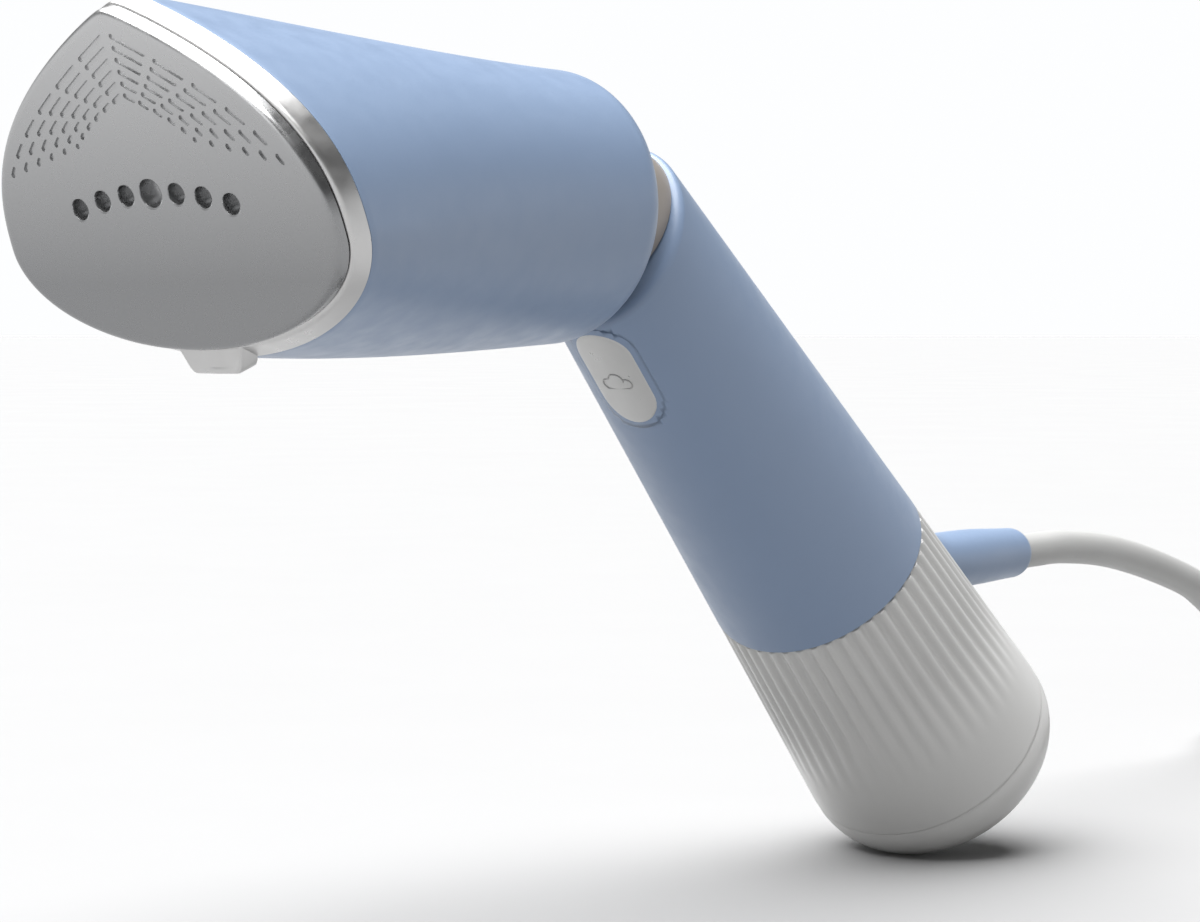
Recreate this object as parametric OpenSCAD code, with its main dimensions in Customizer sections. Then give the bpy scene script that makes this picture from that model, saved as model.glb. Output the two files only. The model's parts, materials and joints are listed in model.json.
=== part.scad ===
// Handheld garment steamer: a drop-shaped steam head on a slanted swivel, a tapered handle
// and a pull-off water tank. The head axis and the handle axis cross at the bend.

/* [Layout] */
// Angle between the head axis and the handle axis
bend_angle = 43.6; // [36:0.2:52]
// Distance from the bend to the middle of the soleplate
head_reach = 120.2; // [105:0.1:140]
// Height of the head axis above the middle of the soleplate
plate_sink = 4.9; // [2:0.1:8]
// Lean of the soleplate from square to the head axis
plate_lean = 20.8; // [12:0.1:26]

/* [Soleplate] */
// Width of the soleplate
plate_w = 80.2; // [70:0.1:96]
// Height of the tip above the widest level
plate_top = 42; // [36:0.1:50]
// Depth of the foot below the widest level
plate_foot = 19.4; // [16:0.1:24]
// Level of the widest part, measured from the middle
plate_belly = -5.6; // [-8:0.1:-3]
// Thickness of the soleplate
plate_t = 3; // [2.5:0.1:4]
// Radius of a steam hole
hole_r = 1.85; // [1.4:0.05:2.2]
// Radius of the middle steam hole
main_hole_r = 2.5; // [2:0.05:3]
// Spacing of the steam holes across the plate
hole_step = 6.2; // [5.6:0.1:7]

/* [Head] */
// Outer radius of the head at its rear end
head_r = 27.2; // [25:0.1:31]
// Wall of the head shell
head_wall = 2.2; // [1.8:0.1:2.6]
// Radius of the rounded rear edge
head_round = 7; // [5:0.1:8]
// Distance from the bend to the rear face of the head
head_gap = 9.2; // [9:0.1:12]
// Depth of the bright band behind the soleplate
band_depth = 4.8; // [3.5:0.1:6]

/* [Swivel] */
// Radius of the drum between head and handle
neck_r = 15.6; // [14.8:0.1:15.8]
// Radius of the journal inside the handle
journal_r = 9; // [8:0.1:9.4]
// Radius of the passage for hose and wires
passage_r = 6.4; // [5:0.1:6.8]
// Radial running clearance of the journal
run_gap = 0.06; // [0.03:0.01:0.1]
// Distance from the bend to the handle's slanted top, along the swivel axis
top_cut = 5.6; // [5.2:0.1:7]

/* [Handle] */
// Radius of the handle cone at the bend
grip_r = 17.85; // [17.6:0.05:21]
// Growth of the radius per millimetre of length
grip_flare = 0.0705; // [0.06:0.0005:0.08]
// Distance from the bend to the foot of the handle
handle_len = 111.4; // [105:0.1:128]
// Wall of the handle shell
handle_wall = 2.2; // [1.8:0.1:2.4]

/* [Trigger] */
// Distance from the bend to the middle of the trigger
trigger_at = 29; // [28:0.5:34]
// Length of the trigger
trigger_l = 25; // [20:0.5:30]
// Width of the trigger
trigger_w = 14; // [12:0.5:16]
// Travel of the trigger
trigger_travel = 1.8; // [1:0.1:2]

/* [Tank] */
// Length of the tank below the handle
tank_len = 79; // [66:0.5:96]
// Wall of the tank
tank_wall = 1.8; // [1.4:0.1:2.4]
// Radius of the rounded foot of the tank
tank_round = 14.7; // [10:0.1:16]
// Number of flutes round the tank
flutes = 40; // [24:2:48]
// Depth of a flute
flute_depth = 0.45; // [0.3:0.05:0.7]
// Outer radius of the tank mouth
mouth_r = 17; // [14:0.1:17.2]
// Length of the tank mouth inside the handle
mouth_l = 13; // [11:0.5:14]

/* [Cord] */
// Diameter of the mains cord
cord_d = 8.5; // [7:0.1:9]
// Wall of the cord guard
guard_wall = 2.25; // [2:0.05:2.6]
// Radius of the guard at its rounded end
guard_end_r = 6.2; // [6:0.1:6.5]

/* [Plug] */
// Radius of a plug pin
pin_r = 2.4; // [2.3:0.05:2.5]
// Distance between the two pins
pin_pitch = 19; // [18:0.5:20]
// Length of a pin
pin_l = 19; // [17:0.5:20]
// Radius of the plug body
plug_r = 18.5; // [17:0.5:20]

/* [Hidden] */

$fn = 64;
eps = 0.01;
fit = 0.3;                                  // gap between pieces that move past each other
seat = 0.05;                                // gap between fixed pieces that seat on each other

swivel_angle = bend_angle / 2;              // slope of the swivel axis, so the head folds out straight
tank_end = handle_len + tank_len;
plate_tip = plate_belly + plate_top;        // tip above the middle of the plate
plate_low = plate_belly - plate_foot;       // foot of the plate, from its middle
rim_gap = 0.4;                              // dark line between the soleplate and the band
band_face = plate_t + rim_gap;              // depth of the band's front edge
shell_face = band_face + band_depth;        // depth of the head shell's front edge
foot_swell = 3.5;                           // how far the shell's foot stands below the plate's
tip_power = 2.36;                           // fullness of the outline between belly and tip
tip_r = 1.6;                                // softness of the tip
ring_sides = 48;                            // points round a lofted section

// The cord guard runs beside the tank and ends level: its end in the handle's own frame
guard_r = cord_d / 2 + guard_wall;
guard_off = cone_r(handle_len) - 1.2;       // middle of the guard behind the handle axis
guard_end = [-guard_off - 34, 0, handle_len + 64.9];
guard_turn = 34;                            // bend radius where the guard turns level
boot_end = bend_point(guard_end);
tank_r_end = grip_r + grip_flare * tank_end;
foot_centre_d = tank_end - tank_round;      // centre of the tank's foot rounding
foot_centre_r = grip_r + grip_flare * foot_centre_d - tank_round;
bend_height = foot_centre_d * sin(bend_angle) + foot_centre_r * cos(bend_angle) + tank_round;
front_x = -head_reach - (plate_tip - 1) * sin(plate_lean);
origin_shift = -(front_x + boot_end[0]) / 2;

function mix(a, b, t) = a + (b - a) * t;
function cone_r(d) = grip_r + grip_flare * d;
// A point of the handle's frame, seen from the bend
function bend_point(p) = [p[2] * cos(bend_angle) - p[0] * sin(bend_angle), p[1],
    -p[2] * sin(bend_angle) - p[0] * cos(bend_angle)];

// ---- frames: every piece is placed in one of these ----

module at_bend() {
    translate([origin_shift, 0, bend_height]) children();
}

// z runs out of the soleplate, x up the plate
module at_plate() {
    at_bend() translate([-head_reach, 0, -plate_sink]) rotate([0, -(90 + plate_lean), 0]) children();
}

// z runs from the bend towards the soleplate, x is up
module at_head() {
    at_bend() rotate([0, -90, 0]) children();
}

// z runs down the swivel axis into the handle, x is towards the trigger side
module at_swivel() {
    at_bend() rotate([0, 90 + swivel_angle, 0]) children();
}

// z runs down the handle, x is towards the trigger
module at_handle() {
    at_bend() rotate([0, 90 + bend_angle, 0]) children();
}

// ---- lofts and sweeps ----

module loft(rings) {
    n = len(rings[0]);
    m = len(rings);
    points = [for (r = rings, p = r) p];
    sides = [for (i = [0:m - 2], k = [0:n - 1])
        [i * n + k, i * n + (k + 1) % n, (i + 1) * n + (k + 1) % n, (i + 1) * n + k]];
    first = [for (k = [n - 1:-1:0]) k];
    last = [for (k = [0:n - 1]) (m - 1) * n + k];
    polyhedron(points, concat([first], sides, [last]));
}

// Rings joined in a closed round, with no end faces: a hollow shell in one piece
module ring_loft(rings) {
    n = len(rings[0]);
    m = len(rings);
    points = [for (r = rings, p = r) p];
    polyhedron(points, [for (i = [0:m - 1], k = [0:n - 1]) let (j = (i + 1) % m, q = (k + 1) % n)
        [i * n + k, i * n + q, j * n + q, j * n + k]]);
}

function backwards(list) = [for (i = [len(list) - 1:-1:0]) list[i]];
function unit(v) = v / norm(v);
function catmull(a, b, c, d, t) = 0.5 * (2 * b + (c - a) * t + (2 * a - 5 * b + 4 * c - d) * t * t
    + (3 * b - a - 3 * c + d) * t * t * t);
function along(path, i, t) = catmull(path[max(i - 1, 0)], path[i], path[i + 1],
    path[min(i + 2, len(path) - 1)], t);
function smooth_path(path, steps) = concat([for (i = [0:len(path) - 2], s = [0:steps - 1])
    along(path, i, s / steps)], [path[len(path) - 1]]);
function heading(p, i) = unit(p[min(i + 1, len(p) - 1)] - p[max(i - 1, 0)]);
function side_of(t) = unit(cross(t, abs(t[2]) > 0.9 ? [1, 0, 0] : [0, 0, 1]));
// One frame axis is carried along the route, so that the tube never twists
function carried(p, i, s) = i == 0 ? [s] : let (all = carried(p, i - 1, s), last = all[i - 1],
    t = heading(p, i)) concat(all, [unit(last - t * (last * t))]);

function tube_rings(path, radii, sides) = let (sides_dir = carried(path, len(path) - 1,
    side_of(heading(path, 0)))) [for (i = [0:len(path) - 1]) let (t = heading(path, i), u = sides_dir[i],
    v = cross(t, u), r = mix(radii[0], radii[1], i / (len(path) - 1)))
    [for (k = [0:sides - 1]) path[i] + r * (u * cos(360 * k / sides) + v * sin(360 * k / sides))]];

module tube(path, radii, sides = 8) {
    loft(tube_rings(path, radii, sides));
}

module pipe(path, outer, inner, sides) {
    ring_loft(concat(tube_rings(path, outer, sides), backwards(tube_rings(path, [inner, inner], sides))));
}

// ---- the drop outline ----

function tip_soft(x, w) = (sqrt(x * x + tip_r * tip_r) - tip_r) / (sqrt(w * w + tip_r * tip_r) - tip_r);
function drop_side(a, w) = w * (a <= 90 ? sin(a) : pow(sin(a), 1.5));
function drop_up(a, w, top, foot) = a <= 90 ? plate_belly - foot * cos(a)
    : plate_belly + top * pow(max(0, 1 - tip_soft(drop_side(a, w), w)), 1 / tip_power);
// A point of the outline, k of n from the foot, grown outwards and with a deeper foot
function drop(k, n, grow = 0, swell = 0) = let (ang = 360 * k / n, a = min(ang, 360 - ang),
    w = plate_w / 2 + grow) [drop_up(a, w, plate_top + 1.15 * grow, plate_foot + grow + swell),
    (ang <= 180 ? 1 : -1) * drop_side(a, w)];
function outline(grow = 0, swell = 0, n = ring_sides) = [for (k = [0:n - 1]) drop(k, n, grow, swell)];
function flat_ring(z, grow = 0, swell = 0, n = ring_sides) = [for (p = outline(grow, swell, n)) [p[0], p[1], z]];

module drop_slab(z0, z1, grow, swell = 0) {
    translate([0, 0, z0]) linear_extrude(z1 - z0) polygon(outline(grow, swell));
}

// ---- steam head ----

hole_rise = 4.05;                           // middle steam hole above the plate's middle
hole_bow = 0.007;                           // how the row of holes droops to the sides
dash_rows = 6;
dash_depth = 0.35;
fan_centre = [16.3, 0];                     // the rows of dashes shrink towards this point

module steam_holes(z0, z1) {
    for (i = [-3:3]) {
        y = i * hole_step;
        translate([hole_rise - hole_bow * y * y, y, z0]) cylinder(r = i == 0 ? main_hole_r : hole_r, h = z1 - z0);
    }
}

module dash(row, j, side) {
    shrink = 1 - row * (0.132 - 0.004 * j);
    start = [30.0 - 4.75 * j + 0.11 * j * j, 4.5 + 8.75 * j - 0.62 * j * j];
    slope = atan2(8.75 - 1.24 * j, -4.75 + 0.22 * j);
    long = (8.2 - 1.18 * j) * shrink;
    at = fan_centre + (start - fan_centre) * shrink;
    mirror([0, side, 0]) translate([at[0], at[1], -dash_depth]) rotate(slope)
        translate([-long / 2, -0.45, 0]) cube([long, 0.9, 2 * dash_depth]);
}

module soleplate() {
    color("silver") at_plate() difference() {
        loft([flat_ring(-plate_t), flat_ring(-0.9), flat_ring(-0.3, -0.6), flat_ring(0, -1.7)]);
        steam_holes(-plate_t - 1, 1);
        for (row = [0:dash_rows - 1], j = [0:5], side = [0, 1]) dash(row, j, side);
    }
}

block_inset = -8;
block_depth = 14;
cover_t = 2;
block_back = -plate_t - block_depth;
cover_back = block_back - cover_t - 0.6;

module plate_seal() {
    color("dimgray") at_plate() difference() {
        drop_slab(-plate_t - 2, -plate_t, -3);
        drop_slab(-plate_t - 3, 1, block_inset + seat);
    }
}

tab_front = 3.6;
tab_drop = 5.2;

module front_band() {
    color("lightgray") at_plate() difference() {
        union() {
            loft([flat_ring(-shell_face, 0.5, foot_swell), flat_ring(-band_face - 0.6, 0.4, 0.6),
                flat_ring(-band_face, -0.1, 0.2)]);
            translate([plate_low + 2, 0, -shell_face + 0.5])
                linear_extrude(shell_face - tab_front - 0.5)
                polygon([[0, -9], [-2 - tab_drop, -4.8], [-2 - tab_drop, 4.8], [0, 9]]);
        }
        drop_slab(-shell_face - 1, 1, -3);
    }
}

shell_front = [-head_reach + (shell_face + seat) * cos(plate_lean), 0,
    -plate_sink + (shell_face + seat) * sin(plate_lean)];
shell_back = [-head_gap - head_round, 0, 0];
shell_steps = 9;
round_steps = 5;
front_round = 30;                           // radius that the drop blends towards at the front

function shell_ring(u, inset) = let (c = mix(shell_front, shell_back, u), tilt = plate_lean * (1 - u),
    s = u <= 0 ? 0 : 1 - (1 - u) * (1 - u), r = mix(front_round, head_r, u) - inset, n = ring_sides)
    [for (k = [0:n - 1]) let (d = drop(k, n, 0.5 - inset, foot_swell), a = 360 * k / n,
        up = mix(d[0], -r * cos(a), s), side = mix(d[1], r * sin(a), s))
        c + [-up * sin(tilt), side, up * cos(tilt)]];
function round_ring(f, inset) = let (r = head_r - head_round + (head_round - inset) * cos(f), n = ring_sides)
    [for (k = [0:n - 1]) [shell_back[0] + (head_round - inset) * sin(f), r * sin(360 * k / n),
        -r * cos(360 * k / n)]];
function eye_ring(inset) = [for (p = round_ring(90, inset)) [p[0], p[1] * 0.3, p[2] * 0.3]];
function shell_rings(inset) = concat([for (i = [0:shell_steps]) shell_ring(i / shell_steps, inset)],
    [for (i = [1:round_steps]) round_ring(90 * i / round_steps, inset)], [eye_ring(inset)]);

neck_screw_r = 1.25;
neck_screws_at = [100, 180, 260];
flange_t = 3;
flange_r = head_r - head_round - 0.4;
flange_front = head_gap + head_wall;        // distance from the bend to the flange face, along the head

module neck_screw_places() {
    for (a = neck_screws_at) at_head() rotate(a) translate([flange_r - 2.6, 0, 0]) children();
}

module head_shell() {
    color("lightsteelblue") difference() {
        at_bend() ring_loft(concat(shell_rings(0), backwards(shell_rings(head_wall))));
        at_swivel() translate([0, 0, -22]) cylinder(r = neck_r + seat, h = 40);
        neck_screw_places() translate([0, 0, head_gap + 0.8]) cylinder(r = neck_screw_r + seat, h = 5);
    }
}

module block_screw_places() {
    for (x = [9, -10], side = [-1, 1]) translate([x, side * (x > 0 ? 17 : 20), 0]) children();
}

inlet_up = 20;

module boiler_block() {
    color("darkgray") at_plate() difference() {
        drop_slab(block_back, -plate_t, block_inset);
        difference() {
            drop_slab(block_back - 1, -plate_t - 3, block_inset - 4.5);
            block_screw_places() translate([0, 0, block_back - 2]) cylinder(r = 3.4, h = block_depth);
        }
        steam_holes(-plate_t - 4, 1);
        block_screw_places() translate([0, 0, block_back - 1]) cylinder(r = 1.5 + seat, h = 9);
    }
}

module cover_gasket() {
    color("firebrick") at_plate() difference() {
        drop_slab(block_back - 0.6, block_back, block_inset - 0.5);
        difference() {
            drop_slab(block_back - 2, block_back + 1, block_inset - 4.2);
            block_screw_places() translate([0, 0, block_back - 3]) cylinder(r = 3.4, h = 5);
        }
        block_screw_places() translate([0, 0, block_back - 2]) cylinder(r = 1.5 + 2 * seat, h = 4);
    }
}

module boiler_cover() {
    color("gray") at_plate() difference() {
        drop_slab(cover_back, block_back - 0.6, block_inset);
        block_screw_places() translate([0, 0, cover_back - 1]) cylinder(r = 1.5 + 2 * seat, h = 5);
        translate([inlet_up, 0, cover_back - 1]) cylinder(r = 2.2, h = 5);
    }
}

module cover_screws() {
    color("slategray") at_plate() block_screw_places() {
        translate([0, 0, cover_back]) cylinder(r = 1.5, h = 9);
        difference() {
            translate([0, 0, cover_back - 2]) cylinder(r = 2.8, h = 2);
            translate([0, 0, cover_back - 3]) cylinder(r = 1.3, h = 2, $fn = 6);
        }
    }
}

element_r = 13;
element_tube = 3.1;

module heating_element() {
    color("dimgray") at_plate() translate([-1, 0, cover_back - element_tube - seat]) {
        rotate(35) rotate_extrude(angle = 290) translate([element_r, 0]) circle(r = element_tube, $fn = 24);
        for (side = [-1, 1]) rotate(side * 35) translate([element_r, 0, -9]) cylinder(r = 1.4, h = 9);
    }
}

module thermostat() {
    color("ivory") at_plate() translate([-1, 0, 0]) {
        translate([0, 0, cover_back - 5.5]) cylinder(r = 7, h = 5.5);
        for (side = [-1, 1]) translate([-0.5, side * 4 - 1.5, cover_back - 10]) cube([0.8, 3, 4.8]);
    }
}

module thermal_fuse() {
    color("white") at_plate() translate([-19.4, 0, cover_back - 2.2]) rotate([90, 0, 0]) {
        cylinder(r = 2, h = 14, center = true);
        cylinder(r = 0.6, h = 24, center = true);
    }
}

frame_back = -shell_face - 5.5;
frame_edge = -4.4;                          // how far the frame stays inside the outline

module frame_screw_places() {
    for (k = [6, 13, 19, 29, 35, 42]) let (p = drop(k, ring_sides, mix(frame_edge, block_inset, 0.42)))
        translate([p[0], p[1], 0]) children();
}

module insulating_frame() {
    color("darkslategray") at_plate() difference() {
        drop_slab(frame_back, -shell_face - 1, frame_edge);
        drop_slab(frame_back - 1, 1, block_inset + seat);
        frame_screw_places() translate([0, 0, frame_back - 1]) cylinder(r = 1 + seat, h = 9);
    }
}

module frame_screws() {
    color("slategray") at_plate() frame_screw_places() {
        translate([0, 0, frame_back]) cylinder(r = 1, h = -shell_face - 1 - frame_back);
        translate([0, 0, frame_back - 1.4]) cylinder(r = 1.7, h = 1.4);
    }
}

module steam_inlet() {
    color("goldenrod") at_plate() translate([inlet_up, 0, 0]) difference() {
        union() {
            translate([0, 0, cover_back - 2]) cylinder(r = 3.6, h = 2);
            translate([0, 0, cover_back - 9]) cylinder(r = 2.1, h = 11);
        }
        translate([0, 0, cover_back - 10]) cylinder(r = 1.2, h = 14);
    }
}

hose_r = 3.2;
steam_hose_route = [[-91.1, 0, 21.2], [-84, 0, 22.5], [-70, 0, 19], [-55, 0, 11], [-40, 0, 5], [-26, 0, 5],
    [-17, 0, 6.5], [-10, 0, 4], [-3, 0, 1.2]];

module steam_hose() {
    color("whitesmoke") at_bend() tube(smooth_path(steam_hose_route, 3), [hose_r, hose_r]);
}

// ---- swivel ----

journal_end = 16;
groove_at = 13.6;
groove_t = 1.1;
drum_end = top_cut + 1.6;
lip_depth = drum_end + fit - seat - top_cut; // how deep the handle's top lip reaches
neck_step_r = neck_r - 2.3;                 // the drum steps down where it enters the handle
detent_r = neck_step_r - 1.9;               // circle of the detent track on the step's end
ball_r = 1.5;

module swivel_neck() {
    color("darkgray") difference() {
        union() {
            intersection() {
                at_swivel() translate([0, 0, -30]) cylinder(r = neck_r, h = 30 + top_cut - fit);
                at_head() translate([0, 0, -60]) cylinder(r = 40, h = 60 + flange_front + flange_t);
            }
            at_head() translate([0, 0, flange_front + seat]) cylinder(r = flange_r, h = flange_t);
            at_swivel() cylinder(r = neck_step_r, h = drum_end);
            at_swivel() cylinder(r = journal_r, h = journal_end);
        }
        at_swivel() {
            translate([0, 0, -40]) cylinder(r = passage_r, h = 80);
            translate([0, 0, groove_at]) difference() {
                cylinder(r = journal_r + 2, h = groove_t);
                cylinder(r = journal_r - 0.9, h = groove_t);
            }
            translate([0, 0, drum_end]) rotate_extrude() translate([detent_r, 0]) circle(r = ball_r + 0.15, $fn = 32);
        }
        neck_screw_places() cylinder(r = neck_screw_r + seat, h = 40);
    }
}

module neck_screws() {
    color("slategray") neck_screw_places() {
        translate([0, 0, flange_front + seat + flange_t]) cylinder(r = 2.3, h = 1.6);
        translate([0, 0, head_gap + 0.9]) cylinder(r = neck_screw_r, h = head_wall + flange_t);
    }
}

plate_top_s = drum_end + fit;               // the bearing plate starts under the drum
plate_thick = 2.6;
boss_end = 12.6;

module retaining_ring() {
    color("slategray") at_swivel() translate([0, 0, groove_at + 0.05]) difference() {
        cylinder(r = 10.9, h = groove_t - 0.1);
        translate([0, 0, -1]) cylinder(r = journal_r - 0.85, h = 3);
        translate([0, -3, -1]) cube([12, 6, 3]);
    }
}

module spring_washer() {
    color("silver") at_swivel() translate([0, 0, boss_end + 0.35]) difference() {
        cylinder(r = 10.6, h = 0.5);
        translate([0, 0, -1]) cylinder(r = journal_r + 0.2, h = 3);
    }
}

// Inner space of the handle shell, less a clearance
module handle_room(d0, d1, less) {
    at_handle() translate([0, 0, d0]) cylinder(r1 = cone_r(d0) - handle_wall - less,
        r2 = cone_r(d1) - handle_wall - less, h = d1 - d0);
}

module bearing_plate() {
    color("gainsboro") difference() {
        union() {
            intersection() {
                at_swivel() translate([0, 0, plate_top_s]) cylinder(r = 30, h = plate_thick);
                handle_room(-12, 40, seat);
            }
            at_swivel() translate([0, 0, plate_top_s]) cylinder(r = journal_r + 1.5, h = boss_end - plate_top_s);
            at_swivel() translate([0, detent_r, plate_top_s]) cylinder(r = ball_r + 1, h = boss_end - plate_top_s);
        }
        at_swivel() {
            cylinder(r = journal_r + run_gap, h = 30);
            translate([0, detent_r, 0]) cylinder(r = ball_r + 0.05, h = plate_top_s + 4.7);
        }
        at_handle() trigger_prism(8.4, 40, window_gap + bezel_wall + seat);
    }
}

module detent_ball() {
    color("silver") at_swivel() translate([0, detent_r, drum_end + 0.2]) sphere(r = ball_r, $fn = 32);
}

module detent_spring() {
    color("silver") at_swivel() translate([0, detent_r, drum_end + 0.2 + ball_r + 0.05]) difference() {
        cylinder(r = ball_r - 0.1, h = 3.1);
        translate([0, 0, -1]) cylinder(r = ball_r - 0.6, h = 6);
    }
}

// ---- handle ----

window_gap = 0.4;                           // slot round the trigger
bezel_wall = 0.8;

// A stadium prism out through the trigger side of the handle
module trigger_prism(x0, x1, grow) {
    w = trigger_w + 2 * grow;
    span = trigger_l - trigger_w;
    translate([x0, 0, trigger_at]) rotate([0, 90, 0]) {
        for (e = [-1, 1]) translate([e * span / 2, 0, 0]) cylinder(r = w / 2, h = x1 - x0);
        translate([-span / 2, -w / 2, 0]) cube([span, w, x1 - x0]);
    }
}

// The handle cone, larger or smaller than its outside
module handle_cone(d0, d1, grow) {
    translate([0, 0, d0]) cylinder(r1 = cone_r(d0) + grow, r2 = cone_r(d1) + grow, h = d1 - d0);
}

clamp_d = 82.6;

module below_top_cut(shift = 0) {
    at_swivel() translate([0, 0, top_cut + shift]) cylinder(r = 90, h = 240);
}

module handle_shell() {
    color("lightsteelblue") difference() {
        intersection() {
            at_handle() handle_cone(-25, handle_len, 0);
            below_top_cut();
        }
        intersection() {
            at_handle() handle_cone(-25, handle_len + 1, -handle_wall);
            below_top_cut(lip_depth);
        }
        at_swivel() cylinder(r = neck_step_r + fit, h = top_cut + lip_depth + 1);
        at_handle() trigger_prism(8, 40, window_gap + bezel_wall);
        at_handle() translate([-guard_off - 20, 0, handle_len - 17]) rotate([0, 90, 0])
            cylinder(r = cord_d / 2 + 0.6, h = 32);
    }
}

module trigger_bezel() {
    color("dimgray") at_handle() intersection() {
        difference() {
            trigger_prism(13.5, 40, window_gap + bezel_wall - seat);
            trigger_prism(0, 50, window_gap);
        }
        handle_cone(0, 60, -0.5);
    }
}

trigger_back = 12.2;

module steam_trigger() {
    color("silver") at_handle() {
        intersection() {
            trigger_prism(trigger_back, 40, 0);
            handle_cone(0, 60, -0.4);
        }
        intersection() {
            trigger_prism(trigger_back - 1.4, trigger_back, 0.9);
            handle_cone(0, 60, -handle_wall - trigger_travel);
        }
        translate([trigger_back - 3.5, 0, trigger_at]) rotate([0, 90, 0]) cylinder(r = 2, h = 3);
    }
}

spring_seat_x = 4.25;

module trigger_spring() {
    color("silver") at_handle() for (e = [-1, 1])
        translate([spring_seat_x, 0, trigger_at + e * 6.6]) rotate([0, 90, 0]) difference() {
            cylinder(r = 2.2, h = trigger_back - 1.4 - trigger_travel - fit - spring_seat_x);
            translate([0, 0, -1]) cylinder(r = 1.7, h = 20);
        }
}

web_x = -7;
web_t = 2;

module handle_chassis() {
    color("dimgray") difference() {
        intersection() {
            at_handle() union() {
                translate([web_x, -30, 26]) cube([web_t, 60, 62]);
                for (d = [53.5, 86.5]) translate([web_x, -30, d]) cube([24, 60, 2]);
                translate([2.2, -8, 19.5]) cube([2, 16, 18.5]);
                for (y = [-8, 6.6]) translate([web_x + 1, y, 26]) cube([9.2, 1.4, 12]);
            }
            handle_room(10, 100, seat);
        }
        at_handle() translate([pump_x, 0, 40]) cylinder(r = 6.9, h = 60);
        at_handle() for (y = [-6.5, 6.5]) translate([-20, y, clamp_d + 2.5]) rotate([0, 90, 0])
            cylinder(r = 1.25 + seat, h = 18);
    }
}

module micro_switch() {
    color("black") at_handle() {
        translate([4.25, -3.2, trigger_at - 4]) difference() {
            cube([trigger_back - 3.5 - trigger_travel - 1.6 - 4.25, 6.4, 8]);
            for (z = [1.8, 6.2]) translate([1.3, 8, z]) rotate([90, 0, 0]) cylinder(r = 0.7, h = 10);
        }
        translate([trigger_back - 3.5 - trigger_travel - 1.6, 0, trigger_at]) rotate([0, 90, 0])
            cylinder(r = 1.2, h = 1.2);
    }
}

pump_x = 6;

module pump_barrel() {
    color("whitesmoke") at_handle() translate([pump_x, 0, 0]) difference() {
        union() {
            translate([0, 0, 51]) cylinder(r = 5, h = 37);
            translate([0, 0, 46]) cylinder(r = 2.2, h = 44);
        }
        translate([0, 0, 40]) cylinder(r = 1.2, h = 60);
    }
}

module pump_coil() {
    color("chocolate") at_handle() translate([pump_x, 0, 59]) difference() {
        union() {
            cylinder(r = 9.5, h = 22);
            for (z = [-1.2, 22]) translate([0, 0, z]) cylinder(r = 10.6, h = 1.2);
        }
        translate([0, 0, -3]) cylinder(r = 5 + seat, h = 30);
    }
}

module pump_grommets() {
    color("black") at_handle() for (d = [52.3, 85.3]) translate([pump_x, 0, d]) difference() {
        union() {
            cylinder(r = 8.4, h = 1.15);
            cylinder(r = 6.85, h = 3.2);
            translate([0, 0, 3.25]) cylinder(r = 8.4, h = 1.1);
        }
        translate([0, 0, -1]) cylinder(r = 5 + seat, h = 8);
    }
}

// Hose routes in the handle's frame
feed_hose_route = [[6, 0, 45.8], [6, 0, 44.6], [4.4, 0, 42.4], [1.6, 0, 40.6], [-0.8, 0, 38.4], [-1.4, 0, 34],
    [-1.4, 0, 29], [-1.8, 0, 25.5], [-3.2, 0, 21.5], [-5, 0, 17.5], [-5.6, 0, 14.8], [-4.4, 0, 11.4],
    [-2.8, 0, 7.4], [-1, 0, 2.6], [0.8, 0, -2]];
suction_hose_route = [[pump_x, 0, 90.1], [pump_x, 0, 92], [pump_x, 0, 94.5]];

module feed_hose() {
    color("whitesmoke") at_handle() tube(smooth_path(feed_hose_route, 2), [hose_r - 0.8, hose_r - 0.8]);
}

module suction_hose() {
    color("whitesmoke") at_handle() tube(suction_hose_route, [hose_r - 0.4, hose_r - 0.4], 12);
}

board_x = web_x - 3.4;

module control_board() {
    color("darkgreen") at_handle() difference() {
        translate([board_x, -11.5, 32]) cube([1.6, 23, 50]);
        for (y = [-9, 9], d = [35, 79]) translate([board_x - 1, y, d]) rotate([0, 90, 0]) cylinder(r = 1.1, h = 4);
    }
}

module board_parts() {
    color("orange") at_handle() {
        translate([board_x - 5.5 - seat, -8, 38]) cube([5.5, 12, 10]);
        translate([board_x - 4.5 - seat, -4, 53]) cube([4.5, 9, 9]);
        translate([board_x - seat, 3, 70]) rotate([0, -90, 0]) cylinder(r = 3.2, h = 5);
        translate([board_x - seat, -5, 69]) rotate([0, -90, 0]) cylinder(r = 2, h = 4);
    }
}

base_top = 95;
base_t = 3;
bung_r = mouth_r - 1.7 - fit;               // stub that fills the tank's mouth
bung_end = base_top + base_t + 8.5;
seal_d = base_top + base_t + 5;
seal_r = 1.2;
mouth_start = handle_len - mouth_l;

module handle_base() {
    color("gainsboro") difference() {
        union() {
            handle_room(base_top, base_top + base_t, seat);
            at_handle() translate([0, 0, base_top]) cylinder(r = bung_r, h = bung_end - base_top);
        }
        at_handle() {
            translate([0, 0, seal_d]) rotate_extrude() translate([mouth_r - 1.75 - seal_r, 0])
                circle(r = seal_r + seat, $fn = 24);
            translate([pump_x, 0, base_top - 1]) cylinder(r = 1.6, h = 30);
            translate([-9, 0, base_top - 1]) cylinder(r = 2.1 + seat, h = 30);
            translate([0, 0, base_top + base_t]) difference() {
                cylinder(r = bung_r - 4.4, h = 20);
                for (x = [pump_x, -9]) translate([x, 0, -1]) cylinder(r = 4.2, h = 22);
            }
            base_screw_places() cylinder(r = 1.3 + seat, h = 60);
        }
    }
}

module base_screw_places() {
    for (a = [-90, 90]) rotate(a) translate([9.5, 0, base_top - 10]) children();
}

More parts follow.
